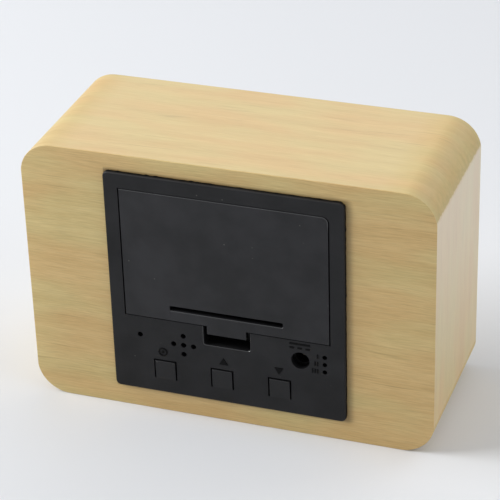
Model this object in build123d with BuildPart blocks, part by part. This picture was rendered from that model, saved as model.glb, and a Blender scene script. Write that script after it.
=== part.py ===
from build123d import *
from math import cos, pi, sin, sqrt
import os

os.makedirs("parts", exist_ok=True)

# A block-shaped desk clock. Millimetres, +Z up, the display looks along -Y and the black panel
# along +Y. The origin is the middle of the base.

# Cells: three size AAA cells lie across the back, one above the other
cell_diameter = 10.5
cell_length = 44.5
cell_play = 0.1
cell_count = 3
contact_room = 3.5
rib_drop = 2.5

# Battery door and the ledge that it lies on
door_thickness = 1.5
door_gap = 0.2
ledge_sides = 1.3
ledge_ends = 0.8
door_corner = 1.5
lug_width = 6.0
lug_reach = 1.4
lug_thickness = 0.9
lug_offset = 16.0
lug_play = 0.2
lug_swing = 1.9

# Latch: a springy strip under a slot, with a tongue, a hook arm and a nose
strip_length = 28.0
strip_height = 2.7
slot_height = 1.3
tongue_width = 9.7
tongue_drop = 2.2
notch_width = 11.6
notch_height = 5.2
notch_depth = 4.5
notch_wall = 1.0
notch_corner = 0.6
hook_width = 5.0
hook_thickness = 0.8
hook_depth = 1.4
nose_thickness = 0.7
nose_drop = 0.6
hook_play = 0.1

# Back panel, and how its rows of controls share the room left over in the control zone
control_zone = 20.6
low_room_share = 0.5474
high_room_share = 0.3695
top_margin = 4.0
side_margin = 3.7
panel_lift = 5.7
panel_clear_top = 4.3
panel_proud = 0.9
plate_thickness = 2.2
rim_thickness = 1.6
bay_wall = 1.6
panel_gap = 0.3
panel_corner = 1.2
panel_bevel = 0.2
crush_rib_width = 1.5
stiffener_height = 3.0
stiffener_thickness = 1.0
seat_ledge = 1.3

# Press tabs
tab_width = 5.0
tab_height = 4.95
tab_thickness = 1.4
tab_slot = 0.38
tab_pitch = 14.36
tab_shift = 1.5
tab_swell = 0.2
post_diameter = 2.4
post_height = 3.25
post_gap = 0.05

# Holes in the panel: X from the panel's middle, and how far each lies above the sound holes
jack_hole_diameter = 4.5
jack_x = -18.1
jack_rise = 0.95
sound_hole_diameter = 1.35
sound_pitch = 2.5
sound_x = 10.95
pinhole_diameter = 1.35
pinhole_x = 21.9
pinhole_rise = 1.2
pin_hole_diameter = 1.15
pin_pitch = 2.0
pin_count = 3
pin_x = -24.05
pin_rise = 0.8

# Control board and what is on it
board_thickness = 1.2
boss_length = 7.5
boss_diameter = 4.5
pilot_diameter = 1.8
screw_play = 0.05
screw_head_diameter = 3.4
screw_head_height = 1.3
screw_length = 5.0
board_edge_gap = 0.5
low_boss_x = 23.9
low_boss_rise = 5.9
mid_boss_x = -5.0
mid_boss_rise = 12.3
switch_side = 6.0
switch_height = 3.4
stem_diameter = 3.4
stem_play = 0.1
stem_proud = 0.8
stem_depth = 1.0
stem_travel = 0.35
stem_bevel = 0.25
buzzer_diameter = 8.5
buzzer_height = 4.0
buzzer_port = 1.6
buzzer_port_depth = 0.8
microphone_diameter = 4.6
microphone_height = 2.4
microphone_port = 1.4
microphone_port_depth = 0.3
jack_side = 6.2
jack_front_gap = 0.2
jack_bore = 3.7
jack_bore_depth = 6.0
centre_pin_diameter = 1.3
centre_pin_length = 5.2
pin_side = 0.5
pin_base_side = 2.0
pin_base_height = 2.4
pin_end_gap = 1.0
chip_length = 12.8
chip_width = 7.5
chip_height = 2.2
chip_legs = 10
chip_leg_pitch = 1.27
chip_leg_width = 0.45
chip_leg_reach = 1.3
chip_leg_thickness = 0.25
chip_x = 4.5
crystal_diameter = 2.0
crystal_length = 6.0
crystal_x = 13.2
capacitor_diameter = 5.0
capacitor_height = 7.0
capacitor_x = 18.2
capacitor_groove = 0.3
resistor_length = 2.0
resistor_width = 1.25
resistor_height = 0.6
resistor_count = 6
resistor_gap = 0.95
resistor_x = -20.0
thermistor_diameter = 2.0
thermistor_leg = 0.5
thermistor_stand = 2.0
thermistor_x = 25.2
thermistor_rise = 10.6

# Contacts, springs and leads in the battery bay
contact_thickness = 0.4
contact_half = 4.2
contact_edge = 0.5
contact_play = 0.1
stud_base = 4.6
stud_top = 3.0
stud_height = 0.9
tail_width = 2.0
tail_reach = 2.0
spring_wire = 0.6
spring_base_radius = 3.6
spring_tip_radius = 1.8
spring_length = 5.4
spring_turns = 3.5
spring_lift_share = 1.3
spring_seat_gap = 0.03
lead_diameter = 1.2
lead_drop = 4.6
lead_bend = 3.6
lead_land_rise = 11.3

# Display, seen through the front film
digit_width = 13.6
digit_height = 24.0
digit_gap = 4.0
colon_gap = 8.0
digit_count = 4
segment_width = 2.4
segment_space = 0.5
colon_dot = 2.4
colon_spread = 7.0
cavity_taper = 8.0
reflector_border_x = 4.6
reflector_border_z = 3.6
window_gap = 0.2
diffuser_thickness = 0.4
lens_thickness = 0.8
lens_play = 0.05
display_tab = 3.2
display_rim = 3.4
display_edge_gap = 0.4
led_length = 1.6
led_width = 0.8
led_height = 0.7
display_screw_length = 3.2
driver_length = 10.0
driver_width = 4.0
driver_height = 1.6
driver_legs = 7
driver_inset = 15.8
ribbon_width = 10.0
ribbon_thickness = 0.6
ribbon_bend = 2.2
header_length = 12.0
header_width = 4.2
header_height = 4.0
header_x = -11.0
header_drop = 12.0
header_rise = 6.7
header_run = 5.0

# Case
film_thickness = 0.3
sheet_thickness = 4.0
frame_depth = 32.0
side_wall = 6.3
corner_radius = 8.0
cavity_corner = 3.0
window_corner = 1.0

# Worked out: the battery bay and the door
cell_pitch = cell_diameter + cell_play
cradle_radius = cell_pitch / 2
bay_length = cell_length + contact_room
bay_height = cell_count * cell_pitch
door_width = bay_length + 2 * ledge_sides
door_height = bay_height + 2 * ledge_ends

# Worked out: the panel, the case and their places
panel_width = door_width + 2 * side_margin
panel_height = control_zone + door_height + top_margin
case_height = panel_lift + panel_height + panel_clear_top
digits_width = digit_count * digit_width + 2 * digit_gap + colon_gap
reflector_width = digits_width + 2 * reflector_border_x
reflector_height = digit_height + 2 * reflector_border_z
display_width = reflector_width + 2 * display_tab
display_height = reflector_height + 2 * display_rim
cavity_width = display_width + 2 * display_edge_gap
case_width = cavity_width + 2 * side_wall + 2 * film_thickness
case_depth = frame_depth + 2 * sheet_thickness + 2 * film_thickness

case_back = case_depth / 2
case_front = -case_depth / 2
back_sheet_face = case_back - film_thickness
frame_back = back_sheet_face - sheet_thickness
front_sheet_face = case_front + film_thickness
frame_front = front_sheet_face + sheet_thickness

panel_bottom = panel_lift
panel_top = panel_bottom + panel_height
panel_mid = (panel_bottom + panel_top) / 2
cavity_bottom = panel_bottom + seat_ledge
cavity_top = panel_top - seat_ledge
panel_face = case_back + panel_proud
plate_inner = panel_face - plate_thickness

door_bottom = panel_bottom + control_zone
door_top = door_bottom + door_height
door_inner = panel_face - door_thickness
bay_bottom = door_bottom + ledge_ends
bay_top = bay_bottom + bay_height
bay_mid = (bay_bottom + bay_top) / 2
bay_half = bay_length / 2
cell_axis = door_inner - cell_play - cell_pitch / 2
cradle_floor = cell_axis - cradle_radius
rib_top = cell_axis - rib_drop
bay_front = cradle_floor - bay_wall
cell_heights = [bay_bottom + cell_pitch * (i + 0.5) for i in range(cell_count)]

board_back = plate_inner - boss_length
board_front = board_back - board_thickness
board_bottom = panel_bottom + rim_thickness + board_edge_gap
board_top = bay_bottom - bay_wall - board_edge_gap
board_half = panel_width / 2 - rim_thickness - board_edge_gap
tab_centres = [tab_shift + tab_pitch * i for i in (1, 0, -1)]
tab_names = ["set", "up", "down"]
row_floor = rim_thickness + board_edge_gap
row_roof = control_zone + ledge_ends - bay_wall
buzzer_radius = buzzer_diameter / 2
switch_corner = tab_centres[0] - switch_side / 2 - sound_x
buzzer_reach = sqrt(max(buzzer_radius**2 - switch_corner**2, 0))
spare_room = row_roof - row_floor - switch_side - buzzer_radius - buzzer_reach
tab_root = row_floor + switch_side / 2 - post_height + low_room_share * spare_room
sound_rise = row_roof - buzzer_radius - high_room_share * spare_room
tab_bottom = panel_bottom + tab_root
tab_inner = panel_face - tab_thickness
post_z = tab_bottom + post_height
switch_top = board_back + switch_height
stem_top = switch_top + stem_proud
boss_places = [
    (-low_boss_x, panel_bottom + low_boss_rise),
    (low_boss_x, panel_bottom + low_boss_rise),
    (mid_boss_x, panel_bottom + mid_boss_rise),
]
sound_z = panel_bottom + sound_rise
jack_z = sound_z + jack_rise
pinhole_z = sound_z + pinhole_rise
pin_z = sound_z + pin_rise
lead_land_z = panel_bottom + lead_land_rise

display_mid = case_height / 2
driver_x = reflector_width / 2 - driver_inset
display_back = frame_front + board_thickness
reflector_front = front_sheet_face + diffuser_thickness


def back_plane(y):
    """A sketch plane facing the back panel side: local x is X, local y is Z, extrude goes forward."""
    return Plane.XZ.offset(-y)


def side_plane(x):
    """A sketch plane across the clock: local x is Y, local y is Z, extrude goes along +X."""
    return Plane.YZ.offset(x)


# Case body: three glued MDF pieces
core_width = case_width - 2 * film_thickness
core_height = case_height - 2 * film_thickness
core_radius = corner_radius - film_thickness
case_mid = case_height / 2

with BuildPart() as body_frame:
    with BuildSketch(back_plane(frame_back)):
        with Locations((0, case_mid)):
            RectangleRounded(core_width, core_height, core_radius)
        with Locations((0, (cavity_bottom + cavity_top) / 2)):
            RectangleRounded(cavity_width, cavity_top - cavity_bottom, cavity_corner, mode=Mode.SUBTRACT)
    extrude(amount=frame_depth)
body_frame.part.label = "body_frame"
export_step(body_frame.part, "parts/body_frame.step")

screw_x = reflector_width / 2 + display_tab / 2
screw_z = display_height / 2 - display_rim / 2
display_screw_places = [
    (side * screw_x, display_mid + end * screw_z) for side in (-1, 1) for end in (-1, 1)
]

with BuildPart() as front_board:
    with BuildSketch(back_plane(frame_front)):
        with Locations((0, case_mid)):
            RectangleRounded(core_width, core_height, core_radius)
        with Locations((0, display_mid)):
            RectangleRounded(
                reflector_width + 2 * window_gap,
                reflector_height + 2 * window_gap,
                window_corner,
                mode=Mode.SUBTRACT,
            )
    extrude(amount=sheet_thickness)
    with BuildSketch(back_plane(frame_front)):
        with Locations(*display_screw_places):
            Circle(pilot_diameter / 2)
    extrude(amount=display_screw_length, mode=Mode.SUBTRACT)
front_board.part.label = "front_board"
export_step(front_board.part, "parts/front_board.step")

with BuildPart() as back_board:
    with BuildSketch(back_plane(back_sheet_face)):
        with Locations((0, case_mid)):
            RectangleRounded(core_width, core_height, core_radius)
        with Locations((0, panel_mid)):
            RectangleRounded(
                panel_width + 2 * panel_gap,
                panel_height + 2 * panel_gap,
                panel_corner + panel_gap,
                mode=Mode.SUBTRACT,
            )
    extrude(amount=sheet_thickness)
back_board.part.label = "back_board"
export_step(back_board.part, "parts/back_board.step")

# Wood-grain films: one round the sides and the top, one under the base, one on each face
with BuildPart() as wrap_film:
    with BuildSketch(back_plane(back_sheet_face)):
        with Locations((0, case_mid)):
            RectangleRounded(case_width, case_height, corner_radius)
            RectangleRounded(core_width, core_height, core_radius, mode=Mode.SUBTRACT)
        with Locations((0, film_thickness / 2)):
            Rectangle(case_width - 2 * corner_radius, film_thickness, mode=Mode.SUBTRACT)
    extrude(amount=case_depth - 2 * film_thickness)
wrap_film.part.label = "wrap_film"
export_step(wrap_film.part, "parts/wrap_film.step")

with BuildPart() as base_film:
    with BuildSketch(back_plane(back_sheet_face)):
        with Locations((0, film_thickness / 2)):
            Rectangle(case_width - 2 * corner_radius, film_thickness)
    extrude(amount=case_depth - 2 * film_thickness)
base_film.part.label = "base_film"
export_step(base_film.part, "parts/base_film.step")

with BuildPart() as front_film:
    with BuildSketch(back_plane(front_sheet_face)):
        with Locations((0, case_mid)):
            RectangleRounded(case_width, case_height, corner_radius)
    extrude(amount=film_thickness)
front_film.part.label = "front_film"
export_step(front_film.part, "parts/front_film.step")

with BuildPart() as back_film:
    with BuildSketch(back_plane(case_back)):
        with Locations((0, case_mid)):
            RectangleRounded(case_width, case_height, corner_radius)
        with Locations((0, panel_mid)):
            RectangleRounded(
                panel_width + 2 * panel_gap,
                panel_height + 2 * panel_gap,
                panel_corner + panel_gap,
                mode=Mode.SUBTRACT,
            )
    extrude(amount=film_thickness)
back_film.part.label = "back_film"
export_step(back_film.part, "parts/back_film.step")

# Back panel: plate, rim, battery box, bosses, holes, slots, finger recess and contact seats
rim_end = frame_back
contact_rise = cell_pitch / 2 - contact_edge
end_seats = {
    "positive": (1, [cell_count - 1]),
    "left": (-1, [cell_count - 1, cell_count - 2]),
    "right": (1, [cell_count - 2, cell_count - 3]),
    "negative": (-1, [cell_count - 3]),
}


def seat_span(cells):
    """Lowest and highest Z of a contact that covers these cells."""
    heights = [cell_heights[i] for i in cells]
    return min(heights) - contact_rise, max(heights) + contact_rise


with BuildPart() as back_panel:
    with BuildSketch(back_plane(panel_face)):
        with Locations((0, panel_mid)):
            RectangleRounded(panel_width, panel_height, panel_corner)
    extrude(amount=panel_face - rim_end)
    chamfer(back_panel.faces().sort_by(Axis.Y)[-1].edges(), panel_bevel)
    with BuildSketch(back_plane(plate_inner)):
        with Locations((0, panel_mid)):
            Rectangle(panel_width - 2 * rim_thickness, panel_height - 2 * rim_thickness)
    extrude(amount=plate_inner - rim_end, mode=Mode.SUBTRACT)
    # crush ribs that grip the opening in the back board
    with BuildSketch(back_plane(back_sheet_face)):
        with Locations((0, panel_mid)):
            with GridLocations(panel_width + panel_gap, panel_height / 2, 2, 2):
                Rectangle(panel_gap, crush_rib_width)
            with GridLocations(panel_width / 2, panel_height + panel_gap, 2, 2):
                Rectangle(crush_rib_width, panel_gap)
    extrude(amount=back_sheet_face - rim_end)
    # battery box
    with BuildSketch(back_plane(plate_inner)):
        with Locations((0, bay_mid)):
            Rectangle(bay_length + 2 * bay_wall, bay_height + 2 * bay_wall)
    extrude(amount=plate_inner - bay_front)
    # cup of the finger recess
    notch_top = door_bottom
    with BuildSketch(back_plane(plate_inner)):
        with Locations((0, notch_top - notch_height / 2)):
            Rectangle(notch_width + 2 * notch_wall, notch_height + 2 * notch_wall)
    extrude(amount=notch_depth + notch_wall - plate_thickness)
    # bosses for the control board, and stiffeners between the tabs
    with BuildSketch(back_plane(plate_inner)):
        with Locations(*boss_places):
            Circle(boss_diameter / 2)
    extrude(amount=boss_length)
    stiffener_low = panel_bottom + rim_thickness
    stiffener_top = tab_bottom + tab_height + tab_slot
    with BuildSketch(back_plane(plate_inner)):
        for left, right in zip(tab_centres[:-1], tab_centres[1:]):
            with Locations(((left + right) / 2, (stiffener_low + stiffener_top) / 2)):
                Rectangle(stiffener_thickness, stiffener_top - stiffener_low)
    extrude(amount=stiffener_height)
    # seat of the door, then the bay and its three cradles
    with BuildSketch(back_plane(panel_face)) as seat:
        with Locations((0, (door_bottom + door_top) / 2)):
            Rectangle(door_width + 2 * door_gap, door_height + 2 * door_gap)
        fillet(seat.vertices().group_by(Axis.Y)[-1].sort_by(Axis.X)[0], door_corner + door_gap)
    extrude(amount=door_thickness, mode=Mode.SUBTRACT)
    with BuildSketch(back_plane(panel_face)):
        with Locations((0, bay_mid)):
            Rectangle(bay_length, bay_height)
    extrude(amount=panel_face - rib_top, mode=Mode.SUBTRACT)
    with BuildSketch(side_plane(-bay_half)):
        with Locations(*[(cell_axis, z) for z in cell_heights]):
            Circle(cradle_radius)
    extrude(amount=bay_length, mode=Mode.SUBTRACT)
    # pockets for the door's two lugs, open to the bay so that the lugs can swing
    pocket_top = door_top + lug_reach + lug_play
    with BuildSketch(back_plane(door_inner + lug_thickness + hook_play)):
        with Locations(*[(side * lug_offset, (bay_top + pocket_top) / 2) for side in (-1, 1)]):
            Rectangle(lug_width + 2 * lug_play, pocket_top - bay_top)
    extrude(amount=lug_swing, mode=Mode.SUBTRACT)
    # finger recess, and the window that the latch's nose catches in
    with BuildSketch(back_plane(panel_face)) as recess:
        with Locations((0, notch_top - notch_height / 2)):
            Rectangle(notch_width, notch_height)
        fillet(recess.vertices().group_by(Axis.Y)[0], notch_corner)
    extrude(amount=notch_depth, mode=Mode.SUBTRACT)
    with BuildSketch(back_plane(door_inner - hook_depth + nose_thickness + hook_play)):
        with Locations((0, bay_bottom - bay_wall / 2)):
            Rectangle(hook_width + 2 * lug_play, bay_wall)
    extrude(amount=nose_thickness + 2 * hook_play, mode=Mode.SUBTRACT)
    # slots round the press tabs
    for tab_x in tab_centres:
        with BuildSketch(back_plane(panel_face)):
            with Locations((tab_x, tab_bottom + (tab_height + tab_slot) / 2)):
                Rectangle(tab_width + 2 * tab_slot, tab_height + tab_slot)
        extrude(amount=plate_thickness, mode=Mode.SUBTRACT)
    # round holes
    with BuildSketch(back_plane(panel_face)):
        with Locations((jack_x, jack_z)):
            Circle(jack_hole_diameter / 2)
        with Locations(
            (sound_x, sound_z),
            (sound_x - sound_pitch, sound_z),
            (sound_x + sound_pitch, sound_z),
            (sound_x, sound_z - sound_pitch),
            (sound_x, sound_z + sound_pitch),
        ):
            Circle(sound_hole_diameter / 2)
        with Locations((pinhole_x, pinhole_z)):
            Circle(pinhole_diameter / 2)
        with Locations((pin_x, pin_z)):
            with GridLocations(pin_pitch, pin_pitch, 1, pin_count):
                Circle(pin_hole_diameter / 2)
    extrude(amount=plate_thickness, mode=Mode.SUBTRACT)
    # pilot holes in the bosses
    with BuildSketch(back_plane(board_back + screw_length)):
        with Locations(*boss_places):
            Circle(pilot_diameter / 2)
    extrude(amount=screw_length, mode=Mode.SUBTRACT)
    # seats of the contacts, and slots for the two tails
    for seat_side, seat_cells in end_seats.values():
        low, high = seat_span(seat_cells)
        with BuildSketch(side_plane(seat_side * bay_half)):
            with Locations((cell_axis, (low + high) / 2)):
                Rectangle(2 * (contact_half + contact_play), high - low + 2 * contact_play)
        extrude(amount=seat_side * contact_thickness, mode=Mode.SUBTRACT)
        if len(seat_cells) == 1:
            with BuildSketch(side_plane(seat_side * bay_half)):
                with Locations(((cell_axis + bay_front) / 2, (low + high) / 2)):
                    Rectangle(cell_axis - bay_front, tail_width + 2 * contact_play)
            extrude(amount=seat_side * contact_thickness, mode=Mode.SUBTRACT)
back_panel.part.label = "back_panel"
export_step(back_panel.part, "parts/back_panel.step")

# Battery door: a plate with two lugs at its top and a cut-out for the latch
with BuildPart() as battery_door:
    with BuildSketch(back_plane(panel_face)):
        with Locations((0, (door_bottom + door_top) / 2)):
            Rectangle(door_width, door_height)
    extrude(amount=door_thickness)
    rounded = battery_door.edges().filter_by(Axis.Y).group_by(Axis.Z)[-1].sort_by(Axis.X)[0]
    fillet(rounded, door_corner)
    with BuildSketch(back_plane(door_inner + lug_thickness)):
        with Locations(*[(side * lug_offset, door_top + lug_reach / 2) for side in (-1, 1)]):
            Rectangle(lug_width, lug_reach)
        with Locations(*[(side * lug_offset, door_top - lug_reach / 2) for side in (-1, 1)]):
            Rectangle(lug_width, lug_reach)
    extrude(amount=lug_thickness)
    with BuildSketch(back_plane(panel_face)):
        with Locations((0, door_bottom + (strip_height + slot_height) / 2)):
            Rectangle(strip_length, strip_height + slot_height)
    extrude(amount=door_thickness, mode=Mode.SUBTRACT)
battery_door.part.label = "battery_door"
export_step(battery_door.part, "parts/battery_door.step")

# Latch: the springy strip with its tongue, hook arm and nose
with BuildPart() as door_latch:
    with BuildSketch(back_plane(panel_face)):
        with Locations((0, door_bottom + strip_height / 2)):
            Rectangle(strip_length, strip_height)
        with Locations((0, door_bottom - tongue_drop / 2 + strip_height / 4)):
            Rectangle(tongue_width, tongue_drop + strip_height / 2)
    extrude(amount=door_thickness)
    with BuildSketch(back_plane(door_inner)):
        with Locations((0, bay_bottom + hook_play + hook_thickness / 2)):
            Rectangle(hook_width, hook_thickness)
    extrude(amount=hook_depth)
    with BuildSketch(back_plane(door_inner - hook_depth + nose_thickness)):
        with Locations((0, bay_bottom + (hook_play + hook_thickness - nose_drop) / 2)):
            Rectangle(hook_width, hook_play + hook_thickness + nose_drop)
    extrude(amount=nose_thickness)
door_latch.part.label = "door_latch"
export_step(door_latch.part, "parts/door_latch.step")


# Press tabs: a tapered flap with a domed post behind it
def press_tab(name, x):
    with BuildPart() as tab:
        with BuildSketch(side_plane(x - tab_width / 2)):
            with BuildLine():
                Polyline(
                    (tab_inner, tab_bottom),
                    (panel_face, tab_bottom),
                    (panel_face + tab_swell, tab_bottom + tab_height),
                    (tab_inner, tab_bottom + tab_height),
                    close=True,
                )
            make_face()
        extrude(amount=tab_width)
        dome_y = stem_top + post_gap + post_diameter / 2
        with BuildSketch(back_plane(tab_inner)):
            with Locations((x, post_z)):
                Circle(post_diameter / 2)
        extrude(amount=tab_inner - dome_y)
        with Locations((x, dome_y, post_z)):
            Sphere(post_diameter / 2)
    tab.part.label = f"{name}_tab"
    export_step(tab.part, f"parts/{name}_tab.step")


for tab_name, tab_x in zip(tab_names, tab_centres):
    press_tab(tab_name, tab_x)


# Tactile switches: a housing with a well, and the stem that the tab's post pushes
def tact_switch(name, x):
    with BuildPart() as housing:
        with BuildSketch(back_plane(switch_top)):
            with Locations((x, post_z)):
                Rectangle(switch_side, switch_side)
        extrude(amount=switch_height)
        with BuildSketch(back_plane(switch_top)):
            with Locations((x, post_z)):
                Circle(stem_diameter / 2 + stem_play)
        extrude(amount=stem_depth + stem_travel + stem_play, mode=Mode.SUBTRACT)
    housing.part.label = f"{name}_switch"
    export_step(housing.part, f"parts/{name}_switch.step")

    with BuildPart() as stem:
        with BuildSketch(back_plane(stem_top)):
            with Locations((x, post_z)):
                Circle(stem_diameter / 2)
        extrude(amount=stem_proud + stem_depth)
        chamfer(stem.edges().sort_by(Axis.Y)[-1], stem_bevel)
    stem.part.label = f"{name}_stem"
    export_step(stem.part, f"parts/{name}_stem.step")


for tab_name, tab_x in zip(tab_names, tab_centres):
    tact_switch(tab_name, tab_x)

# Control board
with BuildPart() as control_board:
    with BuildSketch(back_plane(board_back)):
        with Locations((0, (board_bottom + board_top) / 2)):
            Rectangle(2 * board_half, board_top - board_bottom)
        with Locations(*boss_places):
            Circle(pilot_diameter / 2, mode=Mode.SUBTRACT)
    extrude(amount=board_thickness)
control_board.part.label = "control_board"
export_step(control_board.part, "parts/control_board.step")


# Pan-head screws: the head lies on a board and the shank goes into its pilot hole
def pan_screws(name, places, head_seat, toward, shank_length):
    shank_radius = pilot_diameter / 2 - screw_play
    profile = [
        (0, -screw_head_height),
        (screw_head_diameter / 4, -screw_head_height),
        (screw_head_diameter / 2, -screw_head_height / 2),
        (screw_head_diameter / 2, 0),
        (shank_radius, 0),
        (shank_radius, shank_length - shank_radius),
        (0, shank_length),
    ]
    with BuildPart() as screws:
        for place_x, place_z in places:
            with BuildSketch(Plane(origin=(place_x, head_seat, place_z))):
                with BuildLine():
                    Polyline(*[(out, toward * along) for out, along in profile], close=True)
                make_face()
            revolve(axis=Axis((place_x, head_seat, place_z), (0, 1, 0)))
    screws.part.label = name
    export_step(screws.part, f"parts/{name}.step")


pan_screws("board_screws", boss_places, board_front, 1, board_thickness + screw_length - pilot_diameter / 2)

# Buzzer behind the cross of sound holes, microphone behind the pinhole
with BuildPart() as buzzer:
    with BuildSketch(back_plane(board_back + buzzer_height)):
        with Locations((sound_x, sound_z)):
            Circle(buzzer_radius)
    extrude(amount=buzzer_height)
    with BuildSketch(back_plane(board_back + buzzer_height)):
        with Locations((sound_x, sound_z)):
            Circle(buzzer_port / 2)
    extrude(amount=buzzer_port_depth, mode=Mode.SUBTRACT)
buzzer.part.label = "buzzer"
export_step(buzzer.part, "parts/buzzer.step")

with BuildPart() as microphone:
    with BuildSketch(back_plane(board_back + microphone_height)):
        with Locations((pinhole_x, pinhole_z)):
            Circle(microphone_diameter / 2)
    extrude(amount=microphone_height)
    with BuildSketch(back_plane(board_back + microphone_height)):
        with Locations((pinhole_x, pinhole_z)):
            Circle(microphone_port / 2)
    extrude(amount=microphone_port_depth, mode=Mode.SUBTRACT)
microphone.part.label = "microphone"
export_step(microphone.part, "parts/microphone.step")

# Power jack and its centre pin, in line with the round hole
jack_face = plate_inner - jack_front_gap
with BuildPart() as power_jack:
    with BuildSketch(back_plane(jack_face)):
        with Locations((jack_x, jack_z)):
            Rectangle(jack_side, jack_side)
    extrude(amount=jack_face - board_back)
    with BuildSketch(back_plane(jack_face)):
        with Locations((jack_x, jack_z)):
            Circle(jack_bore / 2)
    extrude(amount=jack_bore_depth, mode=Mode.SUBTRACT)
power_jack.part.label = "power_jack"
export_step(power_jack.part, "parts/power_jack.step")

with BuildPart() as jack_pin:
    with BuildSketch(back_plane(jack_face - jack_bore_depth + centre_pin_length)):
        with Locations((jack_x, jack_z)):
            Circle(centre_pin_diameter / 2)
    extrude(amount=centre_pin_length)
    chamfer(jack_pin.edges().sort_by(Axis.Y)[-1], centre_pin_diameter / 4)
jack_pin.part.label = "jack_pin"
export_step(jack_pin.part, "parts/jack_pin.step")

# Service pins in line with the column of three holes
with BuildPart() as service_pins:
    with BuildSketch(back_plane(board_back + pin_base_height)):
        with Locations((pin_x, pin_z)):
            Rectangle(pin_base_side, pin_count * pin_pitch)
    extrude(amount=pin_base_height)
    with BuildSketch(back_plane(plate_inner - pin_end_gap)):
        with Locations((pin_x, pin_z)):
            with GridLocations(pin_pitch, pin_pitch, 1, pin_count):
                Rectangle(pin_side, pin_side)
    extrude(amount=plate_inner - pin_end_gap - board_back)
service_pins.part.label = "service_pins"
export_step(service_pins.part, "parts/service_pins.step")

# Thermistor bead on two legs
with BuildPart() as thermistor:
    bead_y = board_back + thermistor_stand + thermistor_diameter / 2
    bead_z = panel_bottom + thermistor_rise
    with BuildSketch(back_plane(bead_y)):
        with Locations((thermistor_x, bead_z)):
            with GridLocations(thermistor_diameter / 2, thermistor_diameter / 2, 2, 1):
                Circle(thermistor_leg / 2)
    extrude(amount=bead_y - board_back)
    with Locations((thermistor_x, bead_y, bead_z)):
        Sphere(thermistor_diameter / 2)
thermistor.part.label = "thermistor"
export_step(thermistor.part, "parts/thermistor.step")


# Chips: a moulded body with two rows of bent legs
def legged_chip(name, seat_y, toward, x, z, length, width, height, legs):
    with BuildPart() as chip:
        with BuildSketch(back_plane(seat_y + toward * chip_leg_thickness)):
            with Locations((x, z)):
                Rectangle(length, width)
        extrude(amount=-toward * (height - chip_leg_thickness))
        chamfer(chip.faces().sort_by(Axis.Y)[0 if toward < 0 else -1].edges(), chip_leg_thickness)
        for side in (-1, 1):
            with BuildSketch(back_plane(seat_y)):
                with Locations((x, z + side * (width + chip_leg_reach) / 2)):
                    with GridLocations(chip_leg_pitch, chip_leg_pitch, legs, 1):
                        Rectangle(chip_leg_width, chip_leg_reach)
            extrude(amount=-toward * chip_leg_thickness)
            with BuildSketch(back_plane(seat_y)):
                with Locations((x, z + side * (width + chip_leg_thickness) / 2)):
                    with GridLocations(chip_leg_pitch, chip_leg_pitch, legs, 1):
                        Rectangle(chip_leg_width, chip_leg_thickness)
            extrude(amount=-toward * height / 2)
    chip.part.label = name
    export_step(chip.part, f"parts/{name}.step")


board_mid = (board_bottom + board_top) / 2
legged_chip(
    "clock_chip", board_front, -1, chip_x, board_mid, chip_length, chip_width, chip_height, chip_legs
)

# Crystal can and filter capacitor on the front of the control board
with BuildPart() as crystal:
    with BuildSketch(Plane.XY.offset(board_mid - crystal_length / 2)):
        with Locations((crystal_x, board_front - crystal_diameter / 2)):
            Circle(crystal_diameter / 2)
    extrude(amount=crystal_length)
    chamfer(crystal.edges().sort_by(Axis.Z)[-1], crystal_diameter / 8)
crystal.part.label = "crystal"
export_step(crystal.part, "parts/crystal.step")

with BuildPart() as filter_capacitor:
    with BuildSketch(back_plane(board_front)):
        with Locations((capacitor_x, board_mid)):
            Circle(capacitor_diameter / 2)
    extrude(amount=capacitor_height)
    chamfer(filter_capacitor.edges().sort_by(Axis.Y)[0], capacitor_groove)
filter_capacitor.part.label = "filter_capacitor"
export_step(filter_capacitor.part, "parts/filter_capacitor.step")

resistor_pitch = resistor_width + resistor_gap
with BuildPart() as chip_resistors:
    with BuildSketch(back_plane(board_front)):
        with Locations((resistor_x, board_mid)):
            with GridLocations(resistor_pitch, resistor_pitch, 1, resistor_count):
                Rectangle(resistor_length, resistor_width)
    extrude(amount=resistor_height)
chip_resistors.part.label = "chip_resistors"
export_step(chip_resistors.part, "parts/chip_resistors.step")


# Contact plates in their seats, with a pressed stud where a cell's cap touches
def contact_plate(name, side, cells, stud_cells):
    low, high = seat_span(cells)
    with BuildPart() as contact:
        with BuildSketch(side_plane(side * bay_half)):
            with Locations((cell_axis, (low + high) / 2)):
                Rectangle(2 * contact_half, high - low)
        extrude(amount=side * contact_thickness)
        for cell in stud_cells:
            with BuildSketch(side_plane(side * bay_half)):
                with Locations((cell_axis, cell_heights[cell])):
                    Circle(stud_base / 2)
            with BuildSketch(side_plane(side * (bay_half - stud_height))):
                with Locations((cell_axis, cell_heights[cell])):
                    Circle(stud_top / 2)
            loft()
        if len(cells) == 1:
            tail_top = cell_axis - contact_half
            tail_end = bay_front - tail_reach
            with BuildSketch(side_plane(side * bay_half)):
                with Locations(((tail_top + tail_end) / 2, (low + high) / 2)):
                    Rectangle(tail_top - tail_end, tail_width)
            extrude(amount=side * contact_thickness)
    contact.part.label = name
    export_step(contact.part, f"parts/{name}.step")


top_cell = cell_count - 1
contact_plate("positive_plate", *end_seats["positive"], [top_cell])
contact_plate("left_link_plate", *end_seats["left"], [top_cell - 1])
contact_plate("right_link_plate", *end_seats["right"], [top_cell - 2])
contact_plate("negative_plate", *end_seats["negative"], [])


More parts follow.
